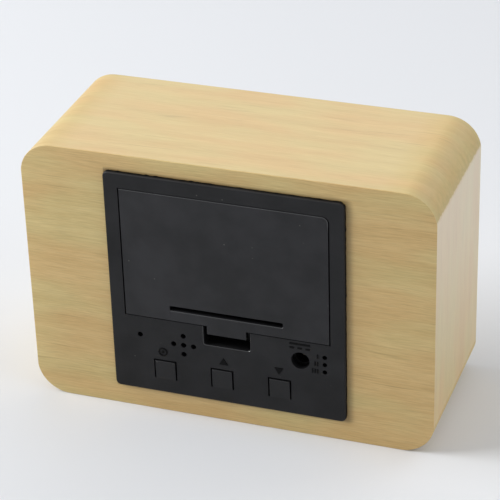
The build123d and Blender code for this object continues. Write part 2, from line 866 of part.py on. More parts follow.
# Conical springs: one wire each, wound on arcs that meet tangent to each other
def coil_place(turn):
    """Place and direction of the wire's centre line at this many turns."""
    share = turn / spring_turns
    angle = 2 * pi * turn
    shrink = (spring_tip_radius - spring_base_radius) / spring_turns
    radius = spring_base_radius + shrink * turn
    rise = spring_length * share**spring_lift_share
    climb = spring_length * spring_lift_share * share ** (spring_lift_share - 1) / spring_turns
    place = Vector(rise, radius * cos(angle), radius * sin(angle))
    direction = Vector(
        climb,
        shrink * cos(angle) - 2 * pi * radius * sin(angle),
        shrink * sin(angle) + 2 * pi * radius * cos(angle),
    )
    return place, direction.normalized()


def two_arcs(start, start_way, end, end_way):
    """Two arcs from start to end that share a tangent where they meet."""
    chord = end - start
    ways = start_way + end_way
    spread = 2 * (1 - start_way.dot(end_way))
    along = chord.dot(ways)
    reach = (sqrt(along**2 + spread * chord.dot(chord)) - along) / spread
    first = start + start_way * reach
    second = end - end_way * reach
    middle = (first + second) * 0.5
    TangentArc(start, middle, tangent=start_way)
    TangentArc(middle, end, tangent=second - first)


def cell_spring(name, side, cell):
    seat = Vector(side * (bay_half - spring_wire / 2 - spring_seat_gap), cell_axis, cell_heights[cell])
    steps = round(4 * spring_turns)
    stations = []
    for step in range(steps + 1):
        place, way = coil_place(step / 4)
        place = seat + Vector(-side * place.X, place.Y, place.Z)
        stations.append((place, Vector(-side * way.X, way.Y, way.Z)))
    with BuildPart() as spring:
        with BuildLine() as coil:
            for (start, start_way), (end, end_way) in zip(stations[:-1], stations[1:]):
                two_arcs(start, start_way, end, end_way)
        with BuildSketch(Plane(origin=coil.line @ 0, z_dir=coil.line % 0)):
            Circle(spring_wire / 2)
        sweep(path=coil.line)
    spring.part.label = name
    export_step(spring.part, f"parts/{name}.step")
    return stations


cell_spring("top_cell_spring", -1, top_cell)
cell_spring("middle_cell_spring", 1, top_cell - 1)
cell_spring("bottom_cell_spring", -1, top_cell - 2)

wire_samples = 140
wire_points = [coil_place(spring_turns * i / wire_samples)[0] for i in range(wire_samples + 1)]
half_turn = round(wire_samples / spring_turns / 2)
least = min((a - b).length for i, a in enumerate(wire_points) for b in wire_points[i + half_turn :])
print("least gap between turns of a cell spring:", round(least - spring_wire, 2))


# Battery leads from the two tails to the front of the control board
def battery_lead(name, side, cell):
    lead_x = side * (bay_half + contact_thickness / 2)
    lead_y = bay_front - tail_reach
    with BuildPart() as lead:
        with BuildLine() as route:
            FilletPolyline(
                (lead_x, lead_y, cell_heights[cell]),
                (lead_x, lead_y - lead_drop, cell_heights[cell]),
                (lead_x, lead_y - lead_drop, lead_land_z),
                (lead_x, board_front, lead_land_z),
                radius=lead_bend,
            )
        with BuildSketch(Plane(origin=route.line @ 0, z_dir=route.line % 0)):
            Circle(lead_diameter / 2)
        sweep(path=route.line)
    lead.part.label = name
    export_step(lead.part, f"parts/{name}.step")


battery_lead("positive_lead", 1, top_cell)
battery_lead("negative_lead", -1, top_cell - 2)

# Display: board, LED chips, reflector, lenses and diffuser
digit_pitch = digit_width + digit_gap
half_group = (digit_width + digit_gap) / 2
digit_centres = [
    side * (colon_gap / 2 + digit_width / 2) + shift
    for side, shift in ((-1, -digit_pitch), (-1, 0), (1, 0), (1, digit_pitch))
]
bar_x = (digit_width - segment_width) / 2
bar_z = (digit_height - segment_width) / 2
flat_bar = 2 * bar_x - segment_space
tall_bar = bar_z - segment_space
digit_bars = [(0, step * bar_z, flat_bar, False) for step in (1, 0, -1)]
digit_bars += [(sx * bar_x, sz * bar_z / 2, tall_bar, True) for sx in (-1, 1) for sz in (-1, 1)]
bars = [
    (centre + dx, display_mid + dz, length, upright)
    for centre in digit_centres
    for dx, dz, length, upright in digit_bars
]
dots = [(0, display_mid + step * colon_spread / 2) for step in (-1, 1)]


def light_windows(play):
    """Outlines of all the bars and both colon dots, each drawn in by a play."""
    for bar_centre_x, bar_centre_z, length, upright in bars:
        half = length / 2 - play
        wide = segment_width / 2 - play
        tip = half - wide
        outline = [(-half, 0), (-tip, wide), (tip, wide), (half, 0), (tip, -wide), (-tip, -wide)]
        if upright:
            outline = [(z, x) for x, z in outline]
        Polygon(*[(bar_centre_x + x, bar_centre_z + z) for x, z in outline], align=None)
    with Locations(*dots):
        Circle(colon_dot / 2 - play)


reflector_depth = frame_front - reflector_front
with BuildPart() as segment_reflector:
    with BuildSketch(back_plane(frame_front)):
        with Locations((0, display_mid)):
            RectangleRounded(reflector_width, reflector_height, window_corner - window_gap)
    extrude(amount=reflector_depth)
    with BuildSketch(back_plane(reflector_front)):
        light_windows(0)
    extrude(amount=-lens_thickness, mode=Mode.SUBTRACT)
    with BuildSketch(back_plane(reflector_front + lens_thickness)):
        light_windows(0)
    extrude(amount=-(reflector_depth - lens_thickness), taper=cavity_taper, mode=Mode.SUBTRACT)
segment_reflector.part.label = "segment_reflector"
export_step(segment_reflector.part, "parts/segment_reflector.step")

with BuildPart() as segment_lenses:
    with BuildSketch(back_plane(reflector_front + lens_thickness)):
        light_windows(lens_play)
    extrude(amount=lens_thickness)
segment_lenses.part.label = "segment_lenses"
export_step(segment_lenses.part, "parts/segment_lenses.step")

with BuildPart() as light_diffuser:
    with BuildSketch(back_plane(reflector_front)):
        with Locations((0, display_mid)):
            RectangleRounded(reflector_width, reflector_height, window_corner - window_gap)
    extrude(amount=diffuser_thickness)
light_diffuser.part.label = "light_diffuser"
export_step(light_diffuser.part, "parts/light_diffuser.step")

with BuildPart() as display_board:
    with BuildSketch(back_plane(display_back)):
        with Locations((0, display_mid)):
            Rectangle(display_width, display_height)
        with Locations(*display_screw_places):
            Circle(pilot_diameter / 2, mode=Mode.SUBTRACT)
    extrude(amount=board_thickness)
display_board.part.label = "display_board"
export_step(display_board.part, "parts/display_board.step")

with BuildPart() as led_chips:
    with BuildSketch(back_plane(frame_front)):
        for bar_centre_x, bar_centre_z, length, upright in bars:
            with Locations((bar_centre_x, bar_centre_z)):
                if upright:
                    Rectangle(led_width, led_length)
                else:
                    Rectangle(led_length, led_width)
        with Locations(*dots):
            Rectangle(led_width, led_width)
    extrude(amount=led_height)
led_chips.part.label = "led_chips"
export_step(led_chips.part, "parts/led_chips.step")

pan_screws(
    "display_screws",
    display_screw_places,
    display_back,
    -1,
    board_thickness + display_screw_length - pilot_diameter / 2,
)

legged_chip(
    "driver_chip",
    display_back,
    1,
    driver_x,
    display_mid,
    driver_length,
    driver_width,
    driver_height,
    driver_legs,
)

# Ribbon between the boards, plugged into a header on each
board_header_z = panel_bottom + header_rise
display_header_z = display_mid - header_drop
board_header_face = board_front - header_height
display_header_face = display_back + header_height


def ribbon_header(name, seat_y, toward, z):
    with BuildPart() as header:
        with BuildSketch(back_plane(seat_y)):
            with Locations((header_x, z)):
                Rectangle(header_length, header_width)
        extrude(amount=-toward * header_height)
        with BuildSketch(back_plane(seat_y + toward * header_height)):
            with Locations((header_x, z)):
                Rectangle(ribbon_width + 2 * lens_play, ribbon_thickness + 2 * lens_play)
        extrude(amount=toward * header_height / 2, mode=Mode.SUBTRACT)
    header.part.label = name
    export_step(header.part, f"parts/{name}.step")


ribbon_header("board_header", board_front, -1, board_header_z)
ribbon_header("display_header", display_back, 1, display_header_z)

with BuildPart() as board_ribbon:
    ribbon_start = board_front - header_height / 2
    ribbon_end = display_back + header_height / 2
    with BuildSketch(side_plane(header_x - ribbon_width / 2)):
        with BuildLine():
            FilletPolyline(
                (ribbon_start, board_header_z),
                (board_header_face - header_run, board_header_z),
                (display_header_face + header_run, display_header_z),
                (ribbon_end, display_header_z),
                radius=ribbon_bend,
            )
        trace(line_width=ribbon_thickness)
    extrude(amount=ribbon_width)
board_ribbon.part.label = "board_ribbon"
export_step(board_ribbon.part, "parts/board_ribbon.step")
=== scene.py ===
import bpy
import bmesh
import math
import random
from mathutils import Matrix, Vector


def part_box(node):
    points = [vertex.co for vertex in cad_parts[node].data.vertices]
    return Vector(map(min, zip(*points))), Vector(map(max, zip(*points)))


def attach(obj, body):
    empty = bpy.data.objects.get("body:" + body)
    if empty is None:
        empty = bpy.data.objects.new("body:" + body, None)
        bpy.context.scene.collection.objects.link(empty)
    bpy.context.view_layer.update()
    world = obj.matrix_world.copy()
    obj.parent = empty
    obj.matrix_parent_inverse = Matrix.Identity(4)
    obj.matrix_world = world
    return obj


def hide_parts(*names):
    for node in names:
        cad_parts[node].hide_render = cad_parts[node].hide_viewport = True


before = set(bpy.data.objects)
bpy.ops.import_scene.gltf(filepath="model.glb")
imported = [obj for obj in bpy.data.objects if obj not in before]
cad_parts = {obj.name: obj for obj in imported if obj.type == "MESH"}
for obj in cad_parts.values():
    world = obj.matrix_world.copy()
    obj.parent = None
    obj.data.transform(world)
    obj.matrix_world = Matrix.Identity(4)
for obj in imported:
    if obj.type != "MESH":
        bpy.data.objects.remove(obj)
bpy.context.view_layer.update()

mm = 0.001
weld = 0.001 * mm  # points nearer than this are one point
noiseLow, noiseHigh = 0.3, 0.7  # nearly all of a noise's values lie between these
print("clock: CAD frame loaded,", len(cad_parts), "nodes")


# Small helpers

def nodeBox(name):
    # a node's low and high corner, to a thousandth of a millimetre
    return [[round(value, 6) for value in corner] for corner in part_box(name)]


def hexToLinear(code):
    parts = [int(code[i:i + 2], 16) / 255 for i in (1, 3, 5)]
    return [p / 12.92 if p <= 0.04045 else ((p + 0.055) / 1.055) ** 2.4 for p in parts] + [1]


def plug(tree, node, links):
    # each input is fed by a socket, or by a node: a colour mix's third output, any other's first
    for key, source in links.items():
        if hasattr(source, "outputs"):
            source = source.outputs[2 if getattr(source, "data_type", "") == "RGBA" else 0]
        tree.links.new(source, node.inputs[key])


def addNode(tree, kind, settings=None, links=None):
    # settings are the node's own properties or values of its inputs, with colours as hex codes
    node = tree.nodes.new("ShaderNode" + kind)
    for key, value in (settings or {}).items():
        if isinstance(key, str) and key in node.bl_rna.properties:
            setattr(node, key, value)
        else:
            node.inputs[key].default_value = hexToLinear(value) if isinstance(value, str) else value
    plug(tree, node, links or {})
    return node


def startMaterial(name, settings):
    material = bpy.data.materials.new(name)
    material.use_nodes = True
    tree = material.node_tree
    tree.nodes.clear()
    shader = addNode(tree, "BsdfPrincipled", settings)
    addNode(tree, "OutputMaterial", links={"Surface": shader})
    return material, tree, shader


def pick(kind, test):
    # selects the corners, edges or faces that pass the test
    bpy.ops.mesh.select_mode(type=kind)
    bpy.ops.mesh.select_all(action="DESELECT")
    shape = bmesh.from_edit_mesh(bpy.context.object.data)
    shape.normal_update()
    for part in {"VERT": shape.verts, "EDGE": shape.edges, "FACE": shape.faces}[kind]:
        if test(part):
            part.select_set(True)
    shape.select_flush_mode()
    bmesh.update_edit_mesh(bpy.context.object.data)


def pickRim(y):
    # the edges that lie wholly at that Y
    pick("EDGE", lambda w: all(abs(v.co.y - y) < weld for v in w.verts))


def takeUp(piece):
    bpy.ops.object.select_all(action="DESELECT")
    piece.select_set(True)
    bpy.context.view_layer.objects.active = piece


def addModifier(piece, kind, settings):
    takeUp(piece)
    modifier = piece.modifiers.new(kind.title(), kind)
    for key, value in settings.items():
        setattr(modifier, key, value)
    bpy.ops.object.modifier_apply(modifier=modifier.name)


def finishPiece(piece, material, body, nodes, smoothAngle=30):
    takeUp(piece)
    bpy.ops.object.transform_apply()
    bpy.ops.object.shade_smooth_by_angle(angle=math.radians(smoothAngle))
    piece.data.materials.clear()
    piece.data.materials.append(material)
    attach(piece, body)
    if nodes:
        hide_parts(*nodes)
    print("clock:", piece.name, len(piece.data.polygons), "faces")


# Printed wood-grain PVC film: a satin clear layer over a print of fine, low-contrast grain. It is pale
# straw brown with soft bands, short streaks and thin wavy darker lines, and drifts between a warmer
# and a greener brown. Streaks and pores are drawn 0.3 mm wide, the finest that show.
filmLook = {
    "straw": "#DFC78B", "streak": "#C7A86C", "line": "#9A7A48", "green": "#CBBC80", "orange": "#D0A46B",
    "streakLength": 9 * mm, "streakWidth": 0.3 * mm, "bandLength": 60 * mm, "bandWidth": 3.2 * mm,
    "lineLength": 24 * mm, "lineWidth": 0.95 * mm, "patchLength": 30 * mm, "patchWidth": 9 * mm,
    "fieldLength": 28 * mm, "fieldWidth": 14 * mm, "poreLength": 5 * mm, "poreWidth": 0.3 * mm,
    "detail": {"streak": 4, "band": 1, "line": 1, "patch": 1, "field": 0, "pore": 1},
    "lineRange": (0.63, 0.74), "fieldRange": (0.42, 0.6), "poreRange": (0.6, 0.72),
    "patchRange": (0.38, 0.62), "noiseRoughness": 0.68, "layerStep": (3.1, 7.7),
    "swayLength": 40 * mm, "swayWidth": 12 * mm, "sway": 1.4 * mm,
    "swing": 0.43, "pore": 0.17, "fine": 0.06, "tint": 0.33, "drift": 0, "warmth": 0,
    "roughFrom": 0.40, "roughTo": 0.52, "coatRoughness": 0.28,
}


def printLayers(tree, alongGrain, across, look):
    # every layer is a noise with a start of its own, drawn out along the grain, which sways a little
    start = look["start"]
    flat = addNode(tree, "CombineXYZ", links={0: alongGrain, 1: across})
    slow = addNode(tree, "Mapping", {
        "Location": start, "Scale": (1 / look["swayLength"], 1 / look["swayWidth"], 1)}, {0: flat})
    wave = addNode(tree, "TexNoise", {"Scale": 1, "Detail": 1}, {"Vector": slow})
    sway = addNode(tree, "Math", {"operation": "MULTIPLY_ADD", 1: look["sway"] * 2, 2: -look["sway"]},
                   {0: wave})
    bent = addNode(tree, "Math", {"operation": "ADD"}, {0: across, 1: sway})
    grain = addNode(tree, "CombineXYZ", links={0: alongGrain, 1: bent})
    layers = {}
    stepX, stepY = look["layerStep"]
    for layer, detail in look["detail"].items():
        shift = (start[0] + stepX * len(layers), start[1] + stepY * len(layers), start[2])
        size = (1 / look[layer + "Length"], 1 / look[layer + "Width"], 1)
        scaled = addNode(tree, "Mapping", {"Location": shift, "Scale": size}, {0: grain})
        layers[layer] = addNode(tree, "TexNoise", {
            "Scale": 1, "Detail": detail, "Roughness": look["noiseRoughness"]}, {"Vector": scaled})
    return layers


def printedWoodFilm(name, source, acrossAxis, look):
    contrast = look["contrast"]
    material, tree, shader = startMaterial(name, {
        "IOR": 1.5, "Coat Weight": look["coat"], "Coat Roughness": look["coatRoughness"], "Coat IOR": 1.5})
    place = addNode(tree, "TexCoord")
    split = addNode(tree, "SeparateXYZ", links={0: place.outputs[source]})
    layers = printLayers(tree, split.outputs[0], split.outputs[acrossAxis], look)
    # streaks and bands between the two browns
    swing = look["swing"] * contrast
    streaks = addNode(tree, "MapRange", {
        "From Min": noiseLow, "From Max": noiseHigh, "To Min": 0.5 - swing, "To Max": 0.5 + swing},
        {0: layers["streak"]})
    bands = addNode(tree, "MapRange", {
        "From Min": noiseLow, "From Max": noiseHigh, "To Min": -look["bands"], "To Max": look["bands"]},
        {0: layers["band"]})
    both = addNode(tree, "Math", {"operation": "ADD"}, {0: streaks, 1: bands})
    tone = addNode(tree, "Mix", {"data_type": "RGBA", 6: look["straw"], 7: look["streak"]}, {0: both})
    # warmer and greener patches
    drifted = addNode(tree, "Math", {"operation": "MULTIPLY_ADD", 1: -look["drift"]},
                      {0: split.outputs[0], 2: layers["patch"]})
    low, high = look["patchRange"]
    warmth = look["warmth"]
    patches = addNode(tree, "MapRange", {"From Min": low - warmth, "From Max": high - warmth}, {0: drifted})
    tint = addNode(tree, "Mix", {"data_type": "RGBA", 6: look["green"], 7: look["orange"]}, {0: patches})
    tinted = addNode(tree, "Mix", {"data_type": "RGBA", 0: look["tint"]}, {6: tone, 7: tint})
    # thin darker lines in some fields only, and short dark pores
    low, high = look["lineRange"]
    thin = addNode(tree, "MapRange", {"From Min": low, "From Max": high}, {0: layers["line"]})
    low, high = look["fieldRange"]
    here = addNode(tree, "MapRange", {"From Min": low, "From Max": high, "To Max": look["lines"]},
                   {0: layers["field"]})
    lines = addNode(tree, "Math", {"operation": "MULTIPLY"}, {0: thin, 1: here})
    low, high = look["poreRange"]
    pore = look["pore"] * contrast
    short = addNode(tree, "MapRange", {"From Min": low, "From Max": high, "To Max": pore},
                    {0: layers["pore"]})
    dark = addNode(tree, "Math", {"operation": "MAXIMUM"}, {0: lines, 1: short})
    lined = addNode(tree, "Mix", {"data_type": "RGBA", 7: look["line"]}, {0: dark, 6: tinted})
    fleck = look["fine"] * contrast
    fine = addNode(tree, "MapRange", {
        "From Min": noiseLow, "From Max": noiseHigh, "To Min": 1 - fleck, "To Max": 1 + fleck},
        {0: layers["pore"]})
    colour = addNode(tree, "Mix", {"data_type": "RGBA", "blend_type": "MULTIPLY", 0: 1},
                     {6: lined, 7: fine})
    satin = addNode(tree, "MapRange", {"To Min": look["roughFrom"], "To Max": look["roughTo"]},
                    {0: layers["streak"]})
    bump = addNode(tree, "Bump", {"Strength": 0.25, "Distance": 0.03 * mm}, {"Height": layers["streak"]})
    plug(tree, shader, {"Base Color": colour, "Roughness": satin, "Normal": bump})
    return material, tree, shader, colour


# Moulded ABS with a fine spark-eroded grain: nearly black, satin, with a faint cloudiness and
# a few specks of dust. The grit is drawn at 0.35 mm, coarser than the real 0.05 mm, to show.
# Rounded edges are rubbed shiny ("shine" on the mesh), and what lies behind the face is painted darker, as
# shade in recesses and holes.
panelLow, panelHigh = nodeBox("back_panel")
panelFace = panelHigh[1]
panelMiddle = (panelLow[2] + panelHigh[2]) / 2
panelHalf = 29 * mm  # of its square face
absLook = {
    "black": "#0B0B0D", "cloud": "#1A1A1C", "deep": "#060607", "dustTone": "#7E7C76",
    "grit": 0.35 * mm, "cloudSize": 9 * mm, "roughness": 0.5, "wander": 0.08, "edgeRoughness": 0.15,
    "specular": 0.25, "dust": 0.45, "speck": 0.18 * mm, "speckGap": 6 * mm, "dustyShare": 0.45,
    "dustFade": 2.5, "shadeFromDepth": 0.4 * mm, "shadeFullDepth": 1.6 * mm,
}
tabLook = dict(absLook, black="#121214", cloud="#19191B", specular=0.28, roughness=0.46)
doorLook = dict(absLook, black="#0D0D10", cloud="#212124", specular=0.34, roughness=0.52, dust=0.6)
# the marks are the same plastic as the panel, painted a deeper black as shade so that the raised strokes
# read dark
markLook = dict(absLook, black="#040405", cloud="#060607", specular=0.1, roughness=0.6, edgeRoughness=0.3,
                dust=0)
# what lies deep in the bay gets no painted recess shade
bayLook = dict(tabLook, black="#232327", cloud="#2B2B30", dust=0, shadeFromDepth=50 * mm, shadeFullDepth=60 * mm)


def dustSpecks(tree, split, look):
    # a round speck in the middle of some of the cells that the face is divided into
    sheet = addNode(tree, "CombineXYZ", links={0: split.outputs[0], 1: split.outputs[2]})
    cells = addNode(tree, "TexVoronoi", {"voronoi_dimensions": "2D", "Scale": 1 / look["speckGap"]},
                    {"Vector": sheet})
    rim = look["speck"] / look["speckGap"]
    speck = addNode(tree, "MapRange", {"From Min": rim / 2, "From Max": rim, "To Min": 1, "To Max": 0},
                    {0: cells.outputs["Distance"]})
    chance = addNode(tree, "SeparateColor", links={0: cells.outputs["Color"]})
    few = addNode(tree, "MapRange", {"From Min": 1 - look["dustyShare"], "From Max": 1},
                  {0: chance.outputs[0]})
    few = addNode(tree, "Math", {"operation": "POWER", 1: look["dustFade"]}, {0: few})
    dust = addNode(tree, "Math", {"operation": "MULTIPLY"}, {0: speck, 1: few})
    return addNode(tree, "Math", {"operation": "MULTIPLY", 1: look["dust"]}, {0: dust})


def mouldedAbs(name, look):
    material, tree, shader = startMaterial(name, {
        "IOR": 1.52, "Specular IOR Level": look["specular"],
        "Coat IOR": 1.52, "Coat Roughness": look["edgeRoughness"]})
    place = addNode(tree, "TexCoord")
    cloud = addNode(tree, "TexNoise", {"Scale": 1 / look["cloudSize"], "Detail": 4},
                    {"Vector": place.outputs["Object"]})
    shade = addNode(tree, "MapRange", {"From Min": 0.35, "From Max": 0.65}, {0: cloud})
    colour = addNode(tree, "Mix", {"data_type": "RGBA", 6: look["black"], 7: look["cloud"]}, {0: shade})
    # painted shade: darker behind the face, in recesses and holes
    split = addNode(tree, "SeparateXYZ", links={0: place.outputs["Object"]})
    depth = addNode(tree, "Math", {"operation": "SUBTRACT", 0: panelFace}, {1: split.outputs[1]})
    recessShade = addNode(tree, "MapRange", {"From Min": look["shadeFromDepth"], "From Max": look["shadeFullDepth"]}, {0: depth})
    colour = addNode(tree, "Mix", {"data_type": "RGBA", 7: look["deep"]}, {0: recessShade, 6: colour})
    dusty = addNode(tree, "Mix", {"data_type": "RGBA", 7: look["dustTone"]},
                    {0: dustSpecks(tree, split, look), 6: colour})
    grit = addNode(tree, "TexNoise", {"Scale": 1 / look["grit"], "Detail": 1},
                   {"Vector": place.outputs["Object"]})
    worn = addNode(tree, "MapRange", {
        "To Min": look["roughness"] - look["wander"], "To Max": look["roughness"] + look["wander"]},
        {0: cloud})
    # "shine" is 1 on the rubbed edges and 0 elsewhere
    edge = addNode(tree, "Attribute", {"attribute_name": "shine"})
    rough = addNode(tree, "Mix", {3: look["edgeRoughness"]}, {0: edge.outputs["Fac"], 2: worn})
    bump = addNode(tree, "Bump", {"Strength": 0.3, "Distance": 0.02 * mm}, {"Height": grit})
    plug(tree, shader, {"Base Color": dusty, "Roughness": rough,
                        "Coat Weight": edge.outputs["Fac"], "Normal": bump})
    return material


# Finishes of the inner parts: two close tones in patches of "patch" size, a fine grain of "grain"
# size that also gives the bump, and for drawn or rolled metal a "stretch" along one axis.
partLooks = {
    # medium-density board, sawn: matt, fibrous, a little speckled
    "sawnMdf": {"tone": "#A88663", "spot": "#8E6D4B", "patch": 4 * mm, "grain": 0.5 * mm,
                "rough": 0.85, "bump": 0.6},
    # glass-filled nylon of switches, jack and buzzer: dull black with a slight sheen
    "mouldedNylon": {"tone": "#0A0A0B", "spot": "#101011", "patch": 3 * mm, "grain": 0.25 * mm,
                     "rough": 0.55, "gloss": 0.2},
    # nickel plate on spring steel: bright, slightly warm grey, rolled along its length
    "rolledNickelPlate": {"tone": "#CFCBC1", "spot": "#B4AFA4", "patch": 2.5 * mm, "grain": 0.2 * mm,
                          "rough": 0.3, "metal": 1, "stretch": (1, 1, 0.08)},
    # the pins: old nickel plate, dulled by use
    "dullNickel": {"tone": "#57534B", "spot": "#45413A", "patch": 1 * mm, "grain": 0.15 * mm,
                   "rough": 0.5, "metal": 1},
    # nickel-plated spring wire: bright with fine marks of drawing
    "drawnSpringWire": {"tone": "#C6C2B9", "spot": "#A7A297", "patch": 1.2 * mm, "grain": 0.15 * mm,
                        "rough": 0.26, "metal": 1},
    # PVC lead insulation: soft and evenly coloured, slightly waxy
    "redPvc": {"tone": "#B3211B", "spot": "#98170F", "patch": 3 * mm, "grain": 0.3 * mm, "rough": 0.42},
    "blackPvc": {"tone": "#1B1B1B", "spot": "#262626", "patch": 3 * mm, "grain": 0.3 * mm, "rough": 0.42},
    # epoxy moulding of the chips: matt, with fine glitter of the filler
    "mouldedEpoxy": {"tone": "#232325", "spot": "#2E2E31", "patch": 1.5 * mm, "grain": 0.12 * mm,
                     "rough": 0.62},
    # drawn aluminium can: bright grey with rings from drawing
    "drawnAluminium": {"tone": "#C5C7CA", "spot": "#AEB1B5", "patch": 2 * mm, "grain": 0.2 * mm,
                       "rough": 0.33, "metal": 1, "stretch": (0.1, 1, 0.1)},
    # zinc-plated screw steel: cool grey with a faint blue cast
    "zincPlate": {"tone": "#B4B8BE", "spot": "#969BA3", "patch": 0.9 * mm, "grain": 0.12 * mm,
                  "rough": 0.36, "metal": 1},
    # white ABS of reflector and headers: matt and bright
    "whiteAbs": {"tone": "#DEDDD8", "spot": "#D2D0CA", "patch": 6 * mm, "grain": 0.3 * mm, "rough": 0.5},
    # milky cast resin of the lenses
    "milkyResin": {"tone": "#E4E7E4", "spot": "#D8DCD8", "patch": 2 * mm, "grain": 0.4 * mm,
                   "rough": 0.3, "depth": 0.4},
    # frosted diffuser sheet
    "frostedSheet": {"tone": "#DCDAD2", "spot": "#D0CEC5", "patch": 5 * mm, "grain": 0.2 * mm,
                     "rough": 0.7, "depth": 0.3},
    # phosphor-filled LED resin: yellow and slightly grainy
    "phosphorResin": {"tone": "#E3CE5E", "spot": "#D3B947", "patch": 0.8 * mm, "grain": 0.1 * mm,
                      "rough": 0.4},
}
partWander = 0.08  # how far the roughness of an inner part goes up and down


def partFinish(name, look):
    material, tree, shader = startMaterial(name, {
        "IOR": 1.5, "Metallic": look.get("metal", 0), "Subsurface Weight": look.get("depth", 0),
        "Subsurface Scale": 1 * mm, "Specular IOR Level": look.get("gloss", 0.5)})
    place = addNode(tree, "TexCoord")
    scaled = addNode(tree, "Mapping", {"Scale": look.get("stretch", (1, 1, 1))},
                     {0: place.outputs["Object"]})
    patch = addNode(tree, "TexNoise", {"Scale": 1 / look["patch"], "Detail": 3},
                    {"Vector": place.outputs["Object"]})
    grain = addNode(tree, "TexNoise", {"Scale": 1 / look["grain"], "Detail": 2}, {"Vector": scaled})
    both = addNode(tree, "Mix", {0: 0.5}, {2: patch, 3: grain})
    shade = addNode(tree, "MapRange", {"From Min": 0.38, "From Max": 0.62}, {0: both})
    colour = addNode(tree, "Mix", {"data_type": "RGBA", 6: look["tone"], 7: look["spot"]}, {0: shade})
    rough = addNode(tree, "MapRange", {
        "To Min": look["rough"] - partWander, "To Max": look["rough"] + partWander}, {0: patch})
    bump = addNode(tree, "Bump", {"Strength": look.get("bump", 0.3), "Distance": look["grain"] * 0.1},
                   {"Height": grain})
    plug(tree, shader, {"Base Color": colour, "Roughness": rough, "Normal": bump})
    return material, tree, shader, colour


finishes = {name: partFinish(name, look)[0] for name, look in partLooks.items()}

# Solder mask over copper on glass epoxy: glossy green, lighter where tracks run under it
maskLook = {"tone": "#0F5A35", "spot": "#0C4A2C", "track": "#1D7A4A", "patch": 8 * mm, "grain": 0.4 * mm,
            "rough": 0.25, "trackPitch": 2.6 * mm}
mask, tree, shader, colour = partFinish("greenSolderMask", maskLook)
place = addNode(tree, "TexCoord")
squares = addNode(tree, "TexVoronoi", {"distance": "MANHATTAN", "Scale": 1 / maskLook["trackPitch"]},
                  {"Vector": place.outputs["Object"]})
track = addNode(tree, "MapRange", {"From Min": 0.42, "From Max": 0.46}, {0: squares.outputs["Distance"]})
tracks = addNode(tree, "Mix", {"data_type": "RGBA", 7: maskLook["track"]}, {0: track, 6: colour})
plug(tree, shader, {"Base Color": tracks})
finishes["greenSolderMask"] = mask

# Thick-film chip resistors: black fired glaze between two tinned ends
chipsLow, chipsHigh = nodeBox("chip_resistors")
chipLook = {"tone": "#17171A", "spot": "#202024", "end": "#C9CACB", "patch": 0.5 * mm, "grain": 0.1 * mm,
            "rough": 0.3, "middle": (chipsLow[0] + chipsHigh[0]) / 2, "halfBody": 0.65 * mm}
fired, tree, shader, colour = partFinish("firedChipGlaze", chipLook)
place = addNode(tree, "TexCoord")
split = addNode(tree, "SeparateXYZ", links={0: place.outputs["Object"]})
off = addNode(tree, "Math", {"operation": "SUBTRACT", 1: chipLook["middle"]}, {0: split.outputs[0]})
off = addNode(tree, "Math", {"operation": "ABSOLUTE"}, {0: off})
end = addNode(tree, "Math", {"operation": "GREATER_THAN", 1: chipLook["halfBody"]}, {0: off})
ends = addNode(tree, "Mix", {"data_type": "RGBA", 7: chipLook["end"]}, {0: end, 6: colour})
plug(tree, shader, {"Base Color": ends, "Metallic": end})
finishes["firedChipGlaze"] = fired

# Flat ribbon: grey PVC with a shallow groove between its wires and one red edge wire
ribbonLook = {"tone": "#8E9092", "spot": "#838587", "edge": "#A3261F", "patch": 3 * mm, "grain": 0.3 * mm,
              "rough": 0.5, "pitch": 1.25 * mm, "redFrom": -7.2 * mm, "groove": 0.3 * mm}
ribbon, tree, shader, colour = partFinish("greyRibbonPvc", ribbonLook)
place = addNode(tree, "TexCoord")
split = addNode(tree, "SeparateXYZ", links={0: place.outputs["Object"]})
turns = addNode(tree, "Math", {"operation": "MULTIPLY", 1: 2 * math.pi / ribbonLook["pitch"]},
                {0: split.outputs[0]})
groove = addNode(tree, "Math", {"operation": "COSINE"}, {0: turns})
red = addNode(tree, "Math", {"operation": "GREATER_THAN", 1: ribbonLook["redFrom"]}, {0: split.outputs[0]})
wires = addNode(tree, "Mix", {"data_type": "RGBA", 7: ribbonLook["edge"]}, {0: red, 6: colour})
ridge = addNode(tree, "Bump", {"Strength": 0.8, "Distance": ribbonLook["groove"]}, {"Height": groove})
plug(tree, shader, {"Base Color": wires, "Normal": ridge})
finishes["greyRibbonPvc"] = ribbon

# The shape of all three films: planed arcs at the corners meet the sides at a slight crease
wrapLow, wrapHigh = nodeBox("wrap_film")
wrapShape = {"width": wrapHigh[0] - wrapLow[0], "height": wrapHigh[2] - wrapLow[2],
             "depth": wrapHigh[1] - wrapLow[1], "corner": 8 * mm, "cuts": 20,
             "thickness": 0.3 * mm, "edge": 0.22 * mm, "crease": 7}
arcTurn = math.radians(90 - wrapShape["crease"])
arcRadius = wrapShape["corner"] / math.sin(arcTurn)
arcRise = arcRadius * (1 - math.cos(arcTurn))
topHalf = wrapShape["width"] / 2 - wrapShape["corner"]
cornerEnd = topHalf + arcRadius * arcTurn
sideEnd = cornerEnd + wrapShape["height"] - 2 * arcRise
sheetMiddle = sideEnd + arcRadius * arcTurn

wrapLook = dict(filmLook, start=(0.3, 0.7, 0), contrast=0.72, bands=0.2, lines=0.33, coat=0.6)
sheetFilm, tree, shader, colour = printedWoodFilm("printedWoodFilmWrap", "UV", 1, wrapLook)
